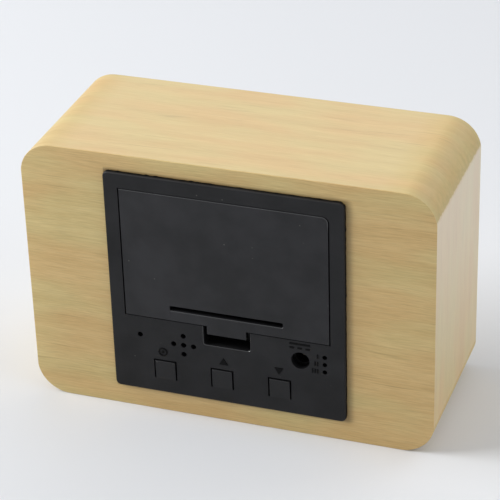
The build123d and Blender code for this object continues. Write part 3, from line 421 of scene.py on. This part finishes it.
# "off" is the way along the strip from the middle of the top. Stretched round the corners the clear
# layer turns matt; it is glossiest on the two flat sides
glossLook = {"top": 0.6, "corner": 0, "sideTop": 0.95, "sideFoot": 0.55, "fade": 5 * mm, "line": 0.2 * mm}
creaseLook = {"size": 1.4 * mm, "wander": 0.6 * mm}
place = addNode(tree, "TexCoord")
split = addNode(tree, "SeparateXYZ", links={0: place.outputs["UV"]})
off = addNode(tree, "Math", {"operation": "SUBTRACT", 1: sheetMiddle}, {0: split.outputs[0]})
off = addNode(tree, "Math", {"operation": "ABSOLUTE"}, {0: off})
# the crease at the foot of each corner isn't quite straight
mottle = addNode(tree, "TexNoise", {"Scale": 1 / creaseLook["size"], "Detail": 3},
                 {"Vector": place.outputs["UV"]})
ragged = addNode(tree, "Math", {"operation": "MULTIPLY_ADD", 1: 2 * creaseLook["wander"]},
                 {0: mottle, 2: off})
off = addNode(tree, "Math", {"operation": "SUBTRACT", 1: creaseLook["wander"]}, {0: ragged})
topGloss = addNode(tree, "MapRange", {
    "From Min": topHalf - glossLook["fade"], "From Max": topHalf + glossLook["fade"] / 2,
    "To Min": glossLook["top"], "To Max": glossLook["corner"]}, {0: off})
onSide = addNode(tree, "MapRange", {
    "From Min": cornerEnd - glossLook["line"], "From Max": cornerEnd + glossLook["line"]}, {0: off})
sideGloss = addNode(tree, "MapRange", {
    "From Min": cornerEnd, "From Max": sideEnd,
    "To Min": glossLook["sideTop"], "To Max": glossLook["sideFoot"]}, {0: off})
pastSide = addNode(tree, "MapRange", {
    "From Min": sideEnd - glossLook["line"], "From Max": sideEnd + glossLook["line"]}, {0: off})
flank = addNode(tree, "Mix", {3: glossLook["corner"]}, {0: pastSide, 2: sideGloss})
gloss = addNode(tree, "Mix", links={0: onSide, 2: topGloss, 3: flank})
plug(tree, shader, {"Coat Weight": gloss})
# painted shade: the film is darkened towards an olive brown towards the lower end of each upper corner
arcShadeLook = {"tone": "#AC9C61", "from": topHalf + 3 * mm, "amount": 0.66, "least": 0.7, "most": 1.25}
arcShade = addNode(tree, "MapRange", {
    "From Min": arcShadeLook["from"], "From Max": cornerEnd, "To Max": arcShadeLook["amount"]}, {0: off})
cloudy = addNode(tree, "MapRange", {
    "From Min": noiseLow, "From Max": noiseHigh, "To Min": arcShadeLook["least"], "To Max": arcShadeLook["most"]},
    {0: mottle})
arcShade = addNode(tree, "Math", {"operation": "MULTIPLY"}, {0: arcShade, 1: cloudy})
onArc = addNode(tree, "Mix", {3: 0}, {0: onSide, 2: arcShade})
arcShaded = addNode(tree, "Mix", {"data_type": "RGBA", 7: arcShadeLook["tone"]}, {0: onArc, 6: colour})
# painted reflection: the flat sides get a cool pale sheen, as the room seen at a grazing view gives them,
# thinning out downwards
sideSheenLook = {"tone": "#B4BDC2", "top": 0.17}
sideSheen = addNode(tree, "MapRange", {
    "From Min": cornerEnd, "From Max": sideEnd, "To Min": sideSheenLook["top"], "To Max": 0}, {0: off})
sideSheen = addNode(tree, "Math", {"operation": "MULTIPLY"}, {0: sideSheen, 1: onSide})
sideSheened = addNode(tree, "Mix", {"data_type": "RGBA", 7: sideSheenLook["tone"]}, {0: sideSheen, 6: arcShaded})
plug(tree, shader, {"Base Color": sideSheened})

# The film on the back: a painted shadow of the panel's rim darkens it in a thin band round the panel,
# widest on one side
backLook = dict(filmLook, start=(1.9, 4.2, 0), contrast=1.25, bands=0.24, lines=0.45, coat=0,
                drift=1.4, warmth=0.05)
backPrint, tree, shader, colour = printedWoodFilm("printedWoodFilmBack", "Object", 2, backLook)
# "narrower" and "endNarrower" say how many times thinner the band is on the other side and on the ends
panelShadowLook = {"dark": "#7A6238", "reach": 2.2 * mm, "amount": 0.7, "narrower": 12, "endNarrower": 2.2}
place = addNode(tree, "TexCoord")
split = addNode(tree, "SeparateXYZ", links={0: place.outputs["Object"]})
wide = addNode(tree, "Math", {"operation": "SUBTRACT", 0: -panelHalf}, {1: split.outputs[0]})
narrow = addNode(tree, "Math", {"operation": "SUBTRACT", 1: panelHalf}, {0: split.outputs[0]})
narrow = addNode(tree, "Math", {"operation": "MULTIPLY", 1: panelShadowLook["narrower"]}, {0: narrow})
apart = addNode(tree, "Math", {"operation": "MAXIMUM"}, {0: wide, 1: narrow})
apart = addNode(tree, "Math", {"operation": "MAXIMUM", 1: 0}, {0: apart})
height = addNode(tree, "Math", {"operation": "SUBTRACT", 1: panelMiddle}, {0: split.outputs[2]})
height = addNode(tree, "Math", {"operation": "ABSOLUTE"}, {0: height})
height = addNode(tree, "Math", {"operation": "SUBTRACT", 1: panelHalf}, {0: height})
height = addNode(tree, "Math", {"operation": "MULTIPLY", 1: panelShadowLook["endNarrower"]}, {0: height})
height = addNode(tree, "Math", {"operation": "MAXIMUM", 1: 0}, {0: height})
both = addNode(tree, "CombineXYZ", links={0: apart, 1: height})
gap = addNode(tree, "VectorMath", {"operation": "LENGTH"}, {0: both})
fade = addNode(tree, "MapRange", {
    "interpolation_type": "SMOOTHSTEP", "From Min": 0, "From Max": panelShadowLook["reach"],
    "To Min": panelShadowLook["amount"], "To Max": 0}, {0: gap.outputs["Value"]})
# painted shadow of the panel's rim, mixed into the print's colour
panelShadowed = addNode(tree, "Mix", {"data_type": "RGBA", 7: panelShadowLook["dark"]}, {0: fade, 6: colour})
plug(tree, shader, {"Base Color": panelShadowed})

# The film on the front: lit segments shine through the print, softened by the sheet
frontLook = dict(filmLook, start=(7.7, 2.4, 0), contrast=1.1, bands=0.2, lines=0.6, coat=0)
frontPrint, tree, shader, colour = printedWoodFilm("printedWoodFilmFront", "Object", 2, frontLook)
lampLook = {"tone": "#F3F8FF", "printShare": 0.45, "power": 0.68}
shine = addNode(tree, "Attribute", {"attribute_name": "glow"})
lamp = addNode(tree, "Mix", {
    "data_type": "RGBA", "blend_type": "MULTIPLY",
    0: lampLook["printShare"], 6: lampLook["tone"]}, {7: colour})
power = addNode(tree, "Math", {"operation": "MULTIPLY", 1: lampLook["power"]}, {0: shine.outputs["Fac"]})
plug(tree, shader, {"Emission Color": lamp, "Emission Strength": power})

baseLook = dict(filmLook, start=(5.3, 1.2, 0), contrast=1, bands=0.2, lines=0.4, coat=0.2)
basePrint = printedWoodFilm("printedWoodFilmBase", "Object", 1, baseLook)[0]
panelAbs = mouldedAbs("mouldedBlackAbs", absLook)
doorAbs = mouldedAbs("mouldedDoorAbs", doorLook)
tabAbs = mouldedAbs("mouldedTabAbs", tabLook)
markAbs = mouldedAbs("raisedMarkAbs", markLook)
bayAbs = mouldedAbs("bayMarkAbs", bayLook)
print("clock: materials ready")


def roundedPlate(name, front, depth):
    middle = wrapShape["height"] / 2
    bpy.ops.mesh.primitive_plane_add(size=1, location=(0, front, middle), rotation=(math.pi / 2, 0, 0))
    plate = bpy.context.object
    plate.name = name
    plate.scale = (wrapShape["width"], wrapShape["height"], 1)
    bpy.ops.object.transform_apply()
    bpy.ops.object.mode_set(mode="EDIT")
    bpy.ops.mesh.select_mode(type="VERT")
    bpy.ops.mesh.select_all(action="SELECT")
    bpy.ops.mesh.bevel(offset=wrapShape["corner"], segments=wrapShape["cuts"], profile=0.5,
                       affect="VERTICES")
    # each quarter circle becomes the planed arc
    flatZ = wrapShape["height"] / 2 - wrapShape["corner"]
    outline = bmesh.from_edit_mesh(plate.data)
    for v in outline.verts:
        outX, outZ = abs(v.co.x) - topHalf, abs(v.co.z - middle) - flatZ
        angle = math.atan2(outX, outZ) * arcTurn / (math.pi / 2)
        rise = flatZ + wrapShape["corner"] - arcRadius * (1 - math.cos(angle))
        v.co.x = math.copysign(topHalf + arcRadius * math.sin(angle), v.co.x)
        v.co.z = middle + math.copysign(rise, v.co.z - middle)
    bmesh.update_edit_mesh(plate.data)
    bpy.ops.mesh.select_all(action="SELECT")
    bpy.ops.mesh.extrude_region_move(TRANSFORM_OT_translate={"value": (0, depth, 0)})
    bpy.ops.mesh.select_all(action="SELECT")
    bpy.ops.mesh.normals_make_consistent(inside=False)
    return plate


def softenRim(y):
    pickRim(y)
    bpy.ops.mesh.bevel(offset=wrapShape["edge"], segments=3, profile=0.6, affect="EDGES")


# The film round the sides and the top, in one strip with its ends at the base
wrap = roundedPlate("wrapFilm", wrapLow[1], wrapShape["depth"])
pick("FACE", lambda f: abs(f.normal.y) > 0.9 or f.normal.z < -0.999)
bpy.ops.mesh.delete(type="FACE")
bpy.ops.object.mode_set(mode="OBJECT")


def stripPlace(vert):
    return round(vert.co.x, 6), round(vert.co.z, 6)


# the sheet's own UV in metres: along the strip, then across it. Places are rounded to a thousandth
# of a millimetre, so that both sides of the strip find the same length
strip = bmesh.new()
strip.from_mesh(wrap.data)
rim = [v for v in strip.verts if v.co.y < 0]
ends = [v for v in rim if sum(w.other_vert(v) in rim for w in v.link_edges) == 1]
point = min(ends, key=lambda v: v.co.x)
along = {}
length = 0.0
while point:
    along[stripPlace(point)] = length
    following = [w.other_vert(point) for w in point.link_edges if w.other_vert(point) in rim]
    following = [v for v in following if stripPlace(v) not in along]
    if following:
        length += (following[0].co - point.co).length
    point = following[0] if following else None
sheet = strip.loops.layers.uv.verify()
for face in strip.faces:
    for loop in face.loops:
        loop[sheet].uv = (along[stripPlace(loop.vert)], loop.vert.co.y - wrapLow[1])
strip.to_mesh(wrap.data)
strip.free()
print("clock: sheet length", round(length, 5))
addModifier(wrap, "SOLIDIFY", {"thickness": wrapShape["thickness"], "offset": -1})
finishPiece(wrap, sheetFilm, "case", ["wrap_film"], smoothAngle=6)

# The film on the back board. Its opening is cut by hand round the panel, so it wanders a little
# and has small nicks.
opening = {"half": panelHalf + 0.1 * mm, "corner": 1.4 * mm, "cuts": 70, "overcut": 2 * mm,
           "wander": 0.07 * mm, "inwardShare": 0.3, "nick": 0.14 * mm, "nickShare": 0.15, "seed": 11}
back = roundedPlate("backFilm", wrapHigh[1], wrapShape["thickness"])
outer = wrapHigh[1] + wrapShape["thickness"]
softenRim(outer)
bpy.ops.object.mode_set(mode="OBJECT")
bpy.ops.mesh.primitive_plane_add(size=opening["half"] * 2, rotation=(math.pi / 2, 0, 0),
                                 location=(0, outer - opening["overcut"], panelMiddle))
cutter = bpy.context.object
bpy.ops.object.transform_apply()
bpy.ops.object.mode_set(mode="EDIT")
bpy.ops.mesh.select_mode(type="VERT")
bpy.ops.mesh.select_all(action="SELECT")
bpy.ops.mesh.bevel(offset=opening["corner"], segments=6, profile=0.5, affect="VERTICES")
pick("EDGE", lambda w: w.calc_length() > opening["half"])
bpy.ops.mesh.subdivide(number_cuts=opening["cuts"])
knife = random.Random(opening["seed"])
outline = bmesh.from_edit_mesh(cutter.data)
for v in outline.verts:
    reach = knife.uniform(-opening["inwardShare"], 1) * opening["wander"]
    if knife.random() < opening["nickShare"]:
        reach += knife.random() * opening["nick"]
    x, z = v.co.x, v.co.z - panelMiddle
    if abs(x) > abs(z):
        v.co.x += math.copysign(1, x) * reach
    else:
        v.co.z += math.copysign(1, z) * reach
bmesh.update_edit_mesh(cutter.data)
bpy.ops.mesh.select_all(action="SELECT")
bpy.ops.mesh.extrude_region_move(TRANSFORM_OT_translate={"value": (0, 2 * opening["overcut"], 0)})
bpy.ops.mesh.select_all(action="SELECT")
bpy.ops.mesh.normals_make_consistent(inside=False)
bpy.ops.object.mode_set(mode="OBJECT")
addModifier(back, "BOOLEAN", {"object": cutter, "operation": "DIFFERENCE", "solver": "EXACT"})
bpy.data.objects.remove(cutter)
finishPiece(back, backPrint, "case", ["back_film"])

# The film on the front. Over the display it is a fine grid that carries each point's glow, from
# its distance to the nearest lit segment.
frontFace = wrapLow[1] - wrapShape["thickness"]
digits = {"places": (-28.4 * mm, -10.8 * mm, 10.8 * mm, 28.4 * mm),
          "shown": ("bc", "abcdef", "abcdef", "abcdefg"), "middle": wrapShape["height"] / 2,
          "barOut": 5.6 * mm, "barUp": 10.8 * mm, "flatBar": 10.7 * mm, "tallBar": 10.3 * mm,
          "barWidth": 2.4 * mm, "dot": 2.4 * mm, "dotUp": 3.5 * mm,
          "soft": 0.55 * mm / 3, "halo": 0.09, "haloReach": 1.6 * mm}
# each bar's step from the digit's middle, sideways and up, and whether it stands upright
bars = {"a": (0, 1, False), "b": (1, 0.5, True), "c": (1, -0.5, True), "d": (0, -1, False),
        "e": (-1, -0.5, True), "f": (-1, 0.5, True), "g": (0, 0, False)}
grid = {"cell": 16 * mm, "columns": 5, "rows": 2, "cuts": 52}
gridHalfWidth = grid["cell"] * grid["columns"] / 2
gridHalfHeight = grid["cell"] * grid["rows"] / 2
front = roundedPlate("frontFilm", frontFace, wrapShape["thickness"])
softenRim(frontFace)
for i in range(grid["columns"] + 1):
    bpy.ops.mesh.select_all(action="SELECT")
    bpy.ops.mesh.bisect(plane_co=(grid["cell"] * i - gridHalfWidth, 0, 0), plane_no=(1, 0, 0))
for i in range(grid["rows"] + 1):
    bpy.ops.mesh.select_all(action="SELECT")
    bpy.ops.mesh.bisect(plane_co=(0, 0, digits["middle"] + grid["cell"] * i - gridHalfHeight),
                        plane_no=(0, 0, 1))
pick("FACE", lambda f: f.normal.y < -0.9 and abs(f.calc_center_median().x) < gridHalfWidth
     and abs(f.calc_center_median().z - digits["middle"]) < gridHalfHeight)
bpy.ops.mesh.subdivide(number_cuts=grid["cuts"])
bpy.ops.object.mode_set(mode="OBJECT")


def segmentGap(x, z, length, width):
    # distance outside a bar with pointed ends that lies along x
    x, z = abs(x), abs(z)
    return max(z - width / 2, (x + z - length / 2) / math.sqrt(2))


def glowAt(x, z):
    gap = 1.0
    for place, shown in zip(digits["places"], digits["shown"]):
        for outBy, upBy, upright in (bars[letter] for letter in shown):
            outX = x - place - outBy * digits["barOut"]
            outZ = z - digits["middle"] - upBy * digits["barUp"]
            if upright:
                gap = min(gap, segmentGap(outZ, outX, digits["tallBar"], digits["barWidth"]))
            else:
                gap = min(gap, segmentGap(outX, outZ, digits["flatBar"], digits["barWidth"]))
    for up in (-1, 1):
        reach = math.hypot(x, z - digits["middle"] - up * digits["dotUp"])
        gap = min(gap, reach - digits["dot"] / 2)
    # the limit keeps the power in range far from a segment
    lit = 1 / (1 + math.exp(min(gap / digits["soft"], 60)))
    return lit + digits["halo"] * math.exp(-max(gap, 0) / digits["haloReach"])


glow = front.data.attributes.new("glow", "FLOAT", "POINT")
for v in front.data.vertices:
    if v.co.y < frontFace + wrapShape["thickness"] / 3:
        glow.data[v.index].value = glowAt(v.co.x, v.co.z)
finishPiece(front, frontPrint, "case", ["front_film"])


def rubShiny(piece):
    # the faces that the last bevel made are still selected
    shine = piece.data.attributes.new("shine", "FLOAT", "CORNER")
    for face in piece.data.polygons:
        if face.select:
            for loop in face.loop_indices:
                shine.data[loop].value = 1


# The moulded parts: each is a copy of its solid with some outer edges rounded as a mould leaves them.
# A zone is left, right, low and high on the panel's face in millimetres. Both ends past "ends" are
# drawn in by "gap".
latchLow, latchHigh = nodeBox("door_latch")
slotX, slotZ = latchLow[0] / mm, latchHigh[2] / mm + 1.3  # the slot is 1.3 mm high
endGap = 0.015 * mm
mouldedParts = {
    # the finger recess
    "back_panel": {"name": "blackPanel", "material": panelAbs, "body": "case",
                   "edge": 0.16 * mm, "edgeZone": (-6.5, 6.5, 20.5, 26.2)},
    # the top edge, and one end of the slot
    "battery_door": {"name": "batteryDoorPlate", "material": doorAbs, "body": "door",
                     "edge": 0.18 * mm, "edgeZone": (-26, 26, 58, 60),
                     "corner": 0.28 * mm, "cornerKind": "EDGES",
                     "cornerZone": (slotX - 0.01, slotX + 0.01, slotZ - 0.01, slotZ + 0.01),
                     "ends": 23.5 * mm, "gap": 0.12 * mm},
    # the strip's top edge
    "door_latch": {"name": "doorLatchStrip", "material": doorAbs, "body": "latch",
                   "edge": 0.18 * mm, "edgeZone": (-15, 15, 28.9, 29.1),
                   "ends": 13.9 * mm, "gap": endGap},
}
for name in ("set", "up", "down"):
    # the upper edges with their two corners
    mouldedParts[name + "_tab"] = {
        "name": name + "TabFlap", "material": tabAbs, "body": name + "_button",
        "edge": 0.12 * mm, "edgeZone": (-20, 20, 9.6, 16),
        "corner": 0.45 * mm, "cornerZone": (-20, 20, 14, 16), "cornerKind": "VERTICES"}


def inZone(vert, zone):
    left, right, low, high = zone
    x, y, z = vert.co
    return y > panelFace - weld and left * mm < x < right * mm and low * mm < z < high * mm


def runsInwards(edge):
    along = (edge.verts[0].co - edge.verts[1].co).normalized()
    return abs(along.y) > 0.9


def softCopy(nodeName, shape):
    piece = bpy.data.objects.new(shape["name"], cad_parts[nodeName].data.copy())
    bpy.context.scene.collection.objects.link(piece)
    takeUp(piece)
    bpy.ops.mesh.customdata_custom_splitnormals_clear()
    bpy.ops.object.mode_set(mode="EDIT")
    bpy.ops.mesh.select_all(action="SELECT")
    bpy.ops.mesh.remove_doubles(threshold=weld)
    bpy.ops.mesh.dissolve_limited(angle_limit=math.radians(0.5))
    if "gap" in shape:
        pick("VERT", lambda v: abs(v.co.x) > shape["ends"])
        bpy.ops.transform.resize(value=(1 - shape["gap"] / shape["ends"], 1, 1), center_override=(0, 0, 0))
    if "corner" in shape:
        if shape["cornerKind"] == "EDGES":
            pick("EDGE", lambda w: runsInwards(w) and any(inZone(v, shape["cornerZone"]) for v in w.verts))
        else:
            pick("VERT", lambda v: inZone(v, shape["cornerZone"]))
        bpy.ops.mesh.bevel(offset=shape["corner"], segments=3, affect=shape["cornerKind"])
    pick("EDGE", lambda w: len(w.link_faces) == 2 and w.calc_face_angle(0) > 1
         and all(inZone(v, shape["edgeZone"]) for v in w.verts))
    bpy.ops.mesh.bevel(offset=shape["edge"], segments=3, affect="EDGES")
    bpy.ops.object.mode_set(mode="OBJECT")
    rubShiny(piece)
    finishPiece(piece, shape["material"], shape["body"], [nodeName], smoothAngle=20)


for node, shape in mouldedParts.items():
    softCopy(node, shape)

# The strip's end runs into the door's wall in a small hollow fillet
bead = {"size": 0.27 * mm, "end": latchLow[0] + endGap, "top": latchHigh[2], "deep": 1 * mm,
        "hollow": 0.97, "softened": 0.4}
bpy.ops.mesh.primitive_cube_add(size=1, location=(
    bead["end"] + bead["size"] / 2, panelFace - bead["deep"] / 2, bead["top"] + bead["size"] / 2))
fillet = bpy.context.object
fillet.name = "stripEndFillet"
fillet.scale = (bead["size"], bead["deep"], bead["size"])
bpy.ops.object.transform_apply()
bpy.ops.object.mode_set(mode="EDIT")
# the edge opposite the corner is hollowed out, then the front rim is softened
nearX = bead["end"] + bead["size"] / 2
nearZ = bead["top"] + bead["size"] / 2
pick("EDGE", lambda w: all(v.co.x > nearX and v.co.z > nearZ for v in w.verts))
bpy.ops.mesh.bevel(offset=bead["size"] * bead["hollow"], segments=5, profile=0.1, affect="EDGES")
pick("EDGE", lambda w: all(v.co.y > panelFace - weld for v in w.verts)
     and any(v.co.x > bead["end"] + weld and v.co.z > bead["top"] + weld for v in w.verts))
bpy.ops.mesh.bevel(offset=bead["size"] * bead["softened"], segments=3, affect="EDGES")
bpy.ops.object.mode_set(mode="OBJECT")
rubShiny(fillet)
finishPiece(fillet, doorAbs, "latch", [], smoothAngle=20)

# Raised marks, in place of wording. Each outline is its number of corners, its turn in degrees, and in
# millimetres its width and height, its place in X and Z, and the ring's width, or 0 where it is filled.
markShape = {"rise": 0.18 * mm, "root": 0.1 * mm, "edge": 0.05 * mm, "round": 0.08 * mm,
             "bayFloor": 9.2 * mm, "bayRoot": 0.3 * mm}
square, disc, triangle = 4, 32, 3
marks = {
    "setMark": [(disc, 0, (2.3, 2.3), (16.3, 17.1), 0.36), (disc, 0, (0.7, 0.7), (16.3, 17.1), 0)],
    "upMark": [(triangle, 0, (2.6, 2.5), (1.0, 16.9), 0)],
    "downMark": [(triangle, 180, (2.6, 2.5), (-12.8, 17.3), 0)],
    "directCurrentMark": [(square, 45, (5.0, 0.4), (-18.0, 25.3), 0)]
    + [(square, 45, (1.1, 0.4), (-18.0 + 1.95 * i, 24.2), 0) for i in (-1, 0, 1)],
    "pinMarks": [(square, 45, (0.3, 1.1), (-22.3 + 0.62 * i, 22.7 - 2 * count), 0)
                 for count in range(3) for i in range(count + 1)],
}

# on the floor of each cell's cradle a bar on the spring's side and a cross on the other. The cross is
# the same bar with a stub above and below it.
bayBar = {"bar": (3.2, 0.7), "stub": (0.7, 1.25), "stubUp": 0.975, "out": 13}
cradles = ((32.4, -1), (43.0, 1), (53.6, -1))
bayMarks = []
for z, springSide in cradles:
    out = bayBar["out"] * springSide
    bayMarks += [(square, 45, bayBar["bar"], (x, z), 0) for x in (out, -out)]
    bayMarks += [(square, 45, bayBar["stub"], (-out, z + bayBar["stubUp"] * up), 0) for up in (-1, 1)]


def raisedMark(name, outlines, material, face, root):
    parts = []
    for corners, turn, (wide, tall), (x, z), hollow in outlines:
        # a square's corners lie further out than its sides
        bpy.ops.mesh.primitive_circle_add(
            vertices=corners, radius=math.sqrt(0.5) if corners == square else 0.5, fill_type="NGON",
            location=(x * mm, face - root, z * mm), rotation=(math.pi / 2, math.radians(turn), 0))
        part = bpy.context.object
        bpy.ops.object.transform_apply(location=False, rotation=True, scale=False)
        part.scale = (wide * mm, 1, tall * mm)
        bpy.ops.object.transform_apply(location=True, rotation=False, scale=True)
        bpy.ops.object.mode_set(mode="EDIT")
        bpy.ops.mesh.select_all(action="SELECT")
        if corners != disc:
            bpy.ops.mesh.bevel(offset=markShape["round"], segments=3, affect="VERTICES")
        if hollow:
            bpy.ops.mesh.inset(thickness=hollow * mm)
            bpy.ops.mesh.delete(type="FACE")
        bpy.ops.object.mode_set(mode="OBJECT")
        parts.append(part)
    for part in parts:
        part.select_set(True)
    if len(parts) > 1:
        bpy.ops.object.join()
    piece = bpy.context.object
    piece.name = name
    bpy.ops.object.mode_set(mode="EDIT")
    bpy.ops.mesh.select_all(action="SELECT")
    bpy.ops.mesh.extrude_region_move(TRANSFORM_OT_translate={"value": (0, root + markShape["rise"], 0)})
    bpy.ops.mesh.select_all(action="SELECT")
    bpy.ops.mesh.normals_make_consistent(inside=False)
    pickRim(face + markShape["rise"])
    bpy.ops.mesh.bevel(offset=markShape["edge"], segments=2, affect="EDGES")
    bpy.ops.object.mode_set(mode="OBJECT")
    finishPiece(piece, material, "case", [], smoothAngle=20)


for name, outlines in marks.items():
    raisedMark(name, outlines, markAbs, panelFace, markShape["root"])
raisedMark("bayMarks", bayMarks, bayAbs, markShape["bayFloor"], markShape["bayRoot"])

# CAD nodes keep their shape and take their finish here
nodeFinish = {
    "sawnMdf": "body_frame front_board back_board",
    "mouldedNylon": "set_switch up_switch down_switch set_stem up_stem down_stem buzzer power_jack",
    "rolledNickelPlate": "positive_plate negative_plate left_link_plate right_link_plate "
                         "crystal microphone",
    "dullNickel": "jack_pin service_pins",
    "drawnSpringWire": "top_cell_spring middle_cell_spring bottom_cell_spring",
    "redPvc": "positive_lead",
    "blackPvc": "negative_lead",
    "greenSolderMask": "control_board display_board",
    "mouldedEpoxy": "clock_chip driver_chip thermistor",
    "drawnAluminium": "filter_capacitor",
    "firedChipGlaze": "chip_resistors",
    "zincPlate": "board_screws display_screws",
    "whiteAbs": "segment_reflector board_header display_header",
    "milkyResin": "segment_lenses",
    "frostedSheet": "light_diffuser",
    "phosphorResin": "led_chips",
    "greyRibbonPvc": "board_ribbon",
}
placed = {"base_film": basePrint, "front_film": frontPrint, "wrap_film": sheetFilm, "back_film": backPrint,
          "back_panel": panelAbs, "battery_door": doorAbs, "door_latch": doorAbs,
          "set_tab": tabAbs, "up_tab": tabAbs, "down_tab": tabAbs}
for finish, names in nodeFinish.items():
    placed.update({name: finishes[finish] for name in names.split()})
for name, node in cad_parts.items():
    node.data.materials.clear()
    node.data.materials.append(placed[name])
print("clock:", len(placed), "nodes have their finish")

# Floor, light and camera. Painted light: the paper goes from the darker near tone to the paler far one
# along a line with this
# turn: "share" is how far it has got at the clock, and "perMetre" what each metre adds.
stageLook = {"near": "#E0E2E6", "far": "#EEF1F5", "turn": -70, "share": 0.35, "perMetre": 1.3,
             "size": 9, "fadeFrom": 0.45, "fadeTo": 1.5}
bpy.ops.mesh.primitive_plane_add(size=stageLook["size"], location=(0, 0, 0))
floor = bpy.context.object
floor.name = "floor"
paper, tree, shader = startMaterial("paperBackdrop", {"Roughness": 0.9, "Specular IOR Level": 0.1})
place = addNode(tree, "TexCoord")
turn = addNode(tree, "Mapping", {
    "Location": (stageLook["share"], 0, 0), "Rotation": (0, 0, math.radians(stageLook["turn"])),
    "Scale": (stageLook["perMetre"], stageLook["perMetre"], 1)}, {0: place.outputs["Object"]})
reach = addNode(tree, "SeparateXYZ", links={0: turn})
tone = addNode(tree, "Mix", {
    "data_type": "RGBA", "clamp_factor": True,
    6: stageLook["near"], 7: stageLook["far"]}, {0: reach.outputs[0]})
plug(tree, shader, {"Base Color": tone})
# far off it fades away, so that no horizon shows
away = addNode(tree, "VectorMath", {"operation": "LENGTH"}, {0: place.outputs["Object"]})
fade = addNode(tree, "MapRange", {
    "interpolation_type": "SMOOTHSTEP", "From Min": stageLook["fadeFrom"], "From Max": stageLook["fadeTo"],
    "To Min": 1, "To Max": 0}, {0: away.outputs["Value"]})
plug(tree, shader, {"Alpha": fade})
floor.data.materials.append(paper)

# soft boxes, all as far from the clock: the way each stands, its width, and how bright it makes a
# white sheet that faces it
boxDistance = 1.4
softBoxes = {
    "keyBox": {"towards": (0.80, 0.20, 0.50), "width": 0.8, "level": 1.04},
    "sideBox": {"towards": (-0.80, 0.10, 0.50), "width": 1.0, "level": 0.265},
    "sideRearBox": {"towards": (-0.50, -0.60, 0.60), "width": 1.0, "level": 0.22},
    "rearBox": {"towards": (0.20, -0.70, 0.70), "width": 1.0, "level": 0.085},
    "topBox": {"towards": (0.00, 0.00, 1.00), "width": 1.2, "level": 0.10},
}
for name, look in softBoxes.items():
    towards = Vector(look["towards"]).normalized()
    box = bpy.data.objects.new(name, bpy.data.lights.new(name, "AREA"))
    box.data.size = look["width"]
    box.data.energy = look["level"] * (math.pi * boxDistance) ** 2
    box.location = towards * boxDistance
    box.rotation_euler = towards.to_track_quat("Z", "Y").to_euler()
    bpy.context.scene.collection.objects.link(box)

# the room gives little light itself, and looks paler to the camera and in gloss
skyLook = {"lit": 0.21, "seen": 0.88, "tint": "#FCFDFF"}
sky = bpy.data.worlds.new("softStudio")
bpy.context.scene.world = sky
sky.use_nodes = True
tree = sky.node_tree
tree.nodes.clear()
path = addNode(tree, "LightPath")
seen = addNode(tree, "Math", {"operation": "MAXIMUM"},
               {0: path.outputs["Is Camera Ray"], 1: path.outputs["Is Glossy Ray"]})
seen = addNode(tree, "Math", {"operation": "MAXIMUM"}, {0: seen, 1: path.outputs["Is Transmission Ray"]})
strength = addNode(tree, "MapRange", {"To Min": skyLook["lit"], "To Max": skyLook["seen"]}, {0: seen})
air = addNode(tree, "Background", {"Color": skyLook["tint"]}, {"Strength": strength})
addNode(tree, "OutputWorld", links={"Surface": air})

# behind the clock, above it and a little to one side. Lens and sensor in mm, turn in degrees.
cameraShape = {"lens": 155.1, "sensor": 36, "place": (-0.152461, 0.422563, 0.289791),
               "turn": (60.5317, 1.5946, -160.9208), "nearest": 0.01}
camera = bpy.data.objects.new("camera", bpy.data.cameras.new("camera"))
camera.data.lens = cameraShape["lens"]
camera.data.sensor_width = cameraShape["sensor"]
camera.data.clip_start = cameraShape["nearest"]
camera.location = cameraShape["place"]
camera.rotation_euler = [math.radians(a) for a in cameraShape["turn"]]
bpy.context.scene.collection.objects.link(camera)
bpy.context.scene.camera = camera
bpy.context.scene.view_settings.view_transform = "Standard"
print("clock: floor, light and camera ready")
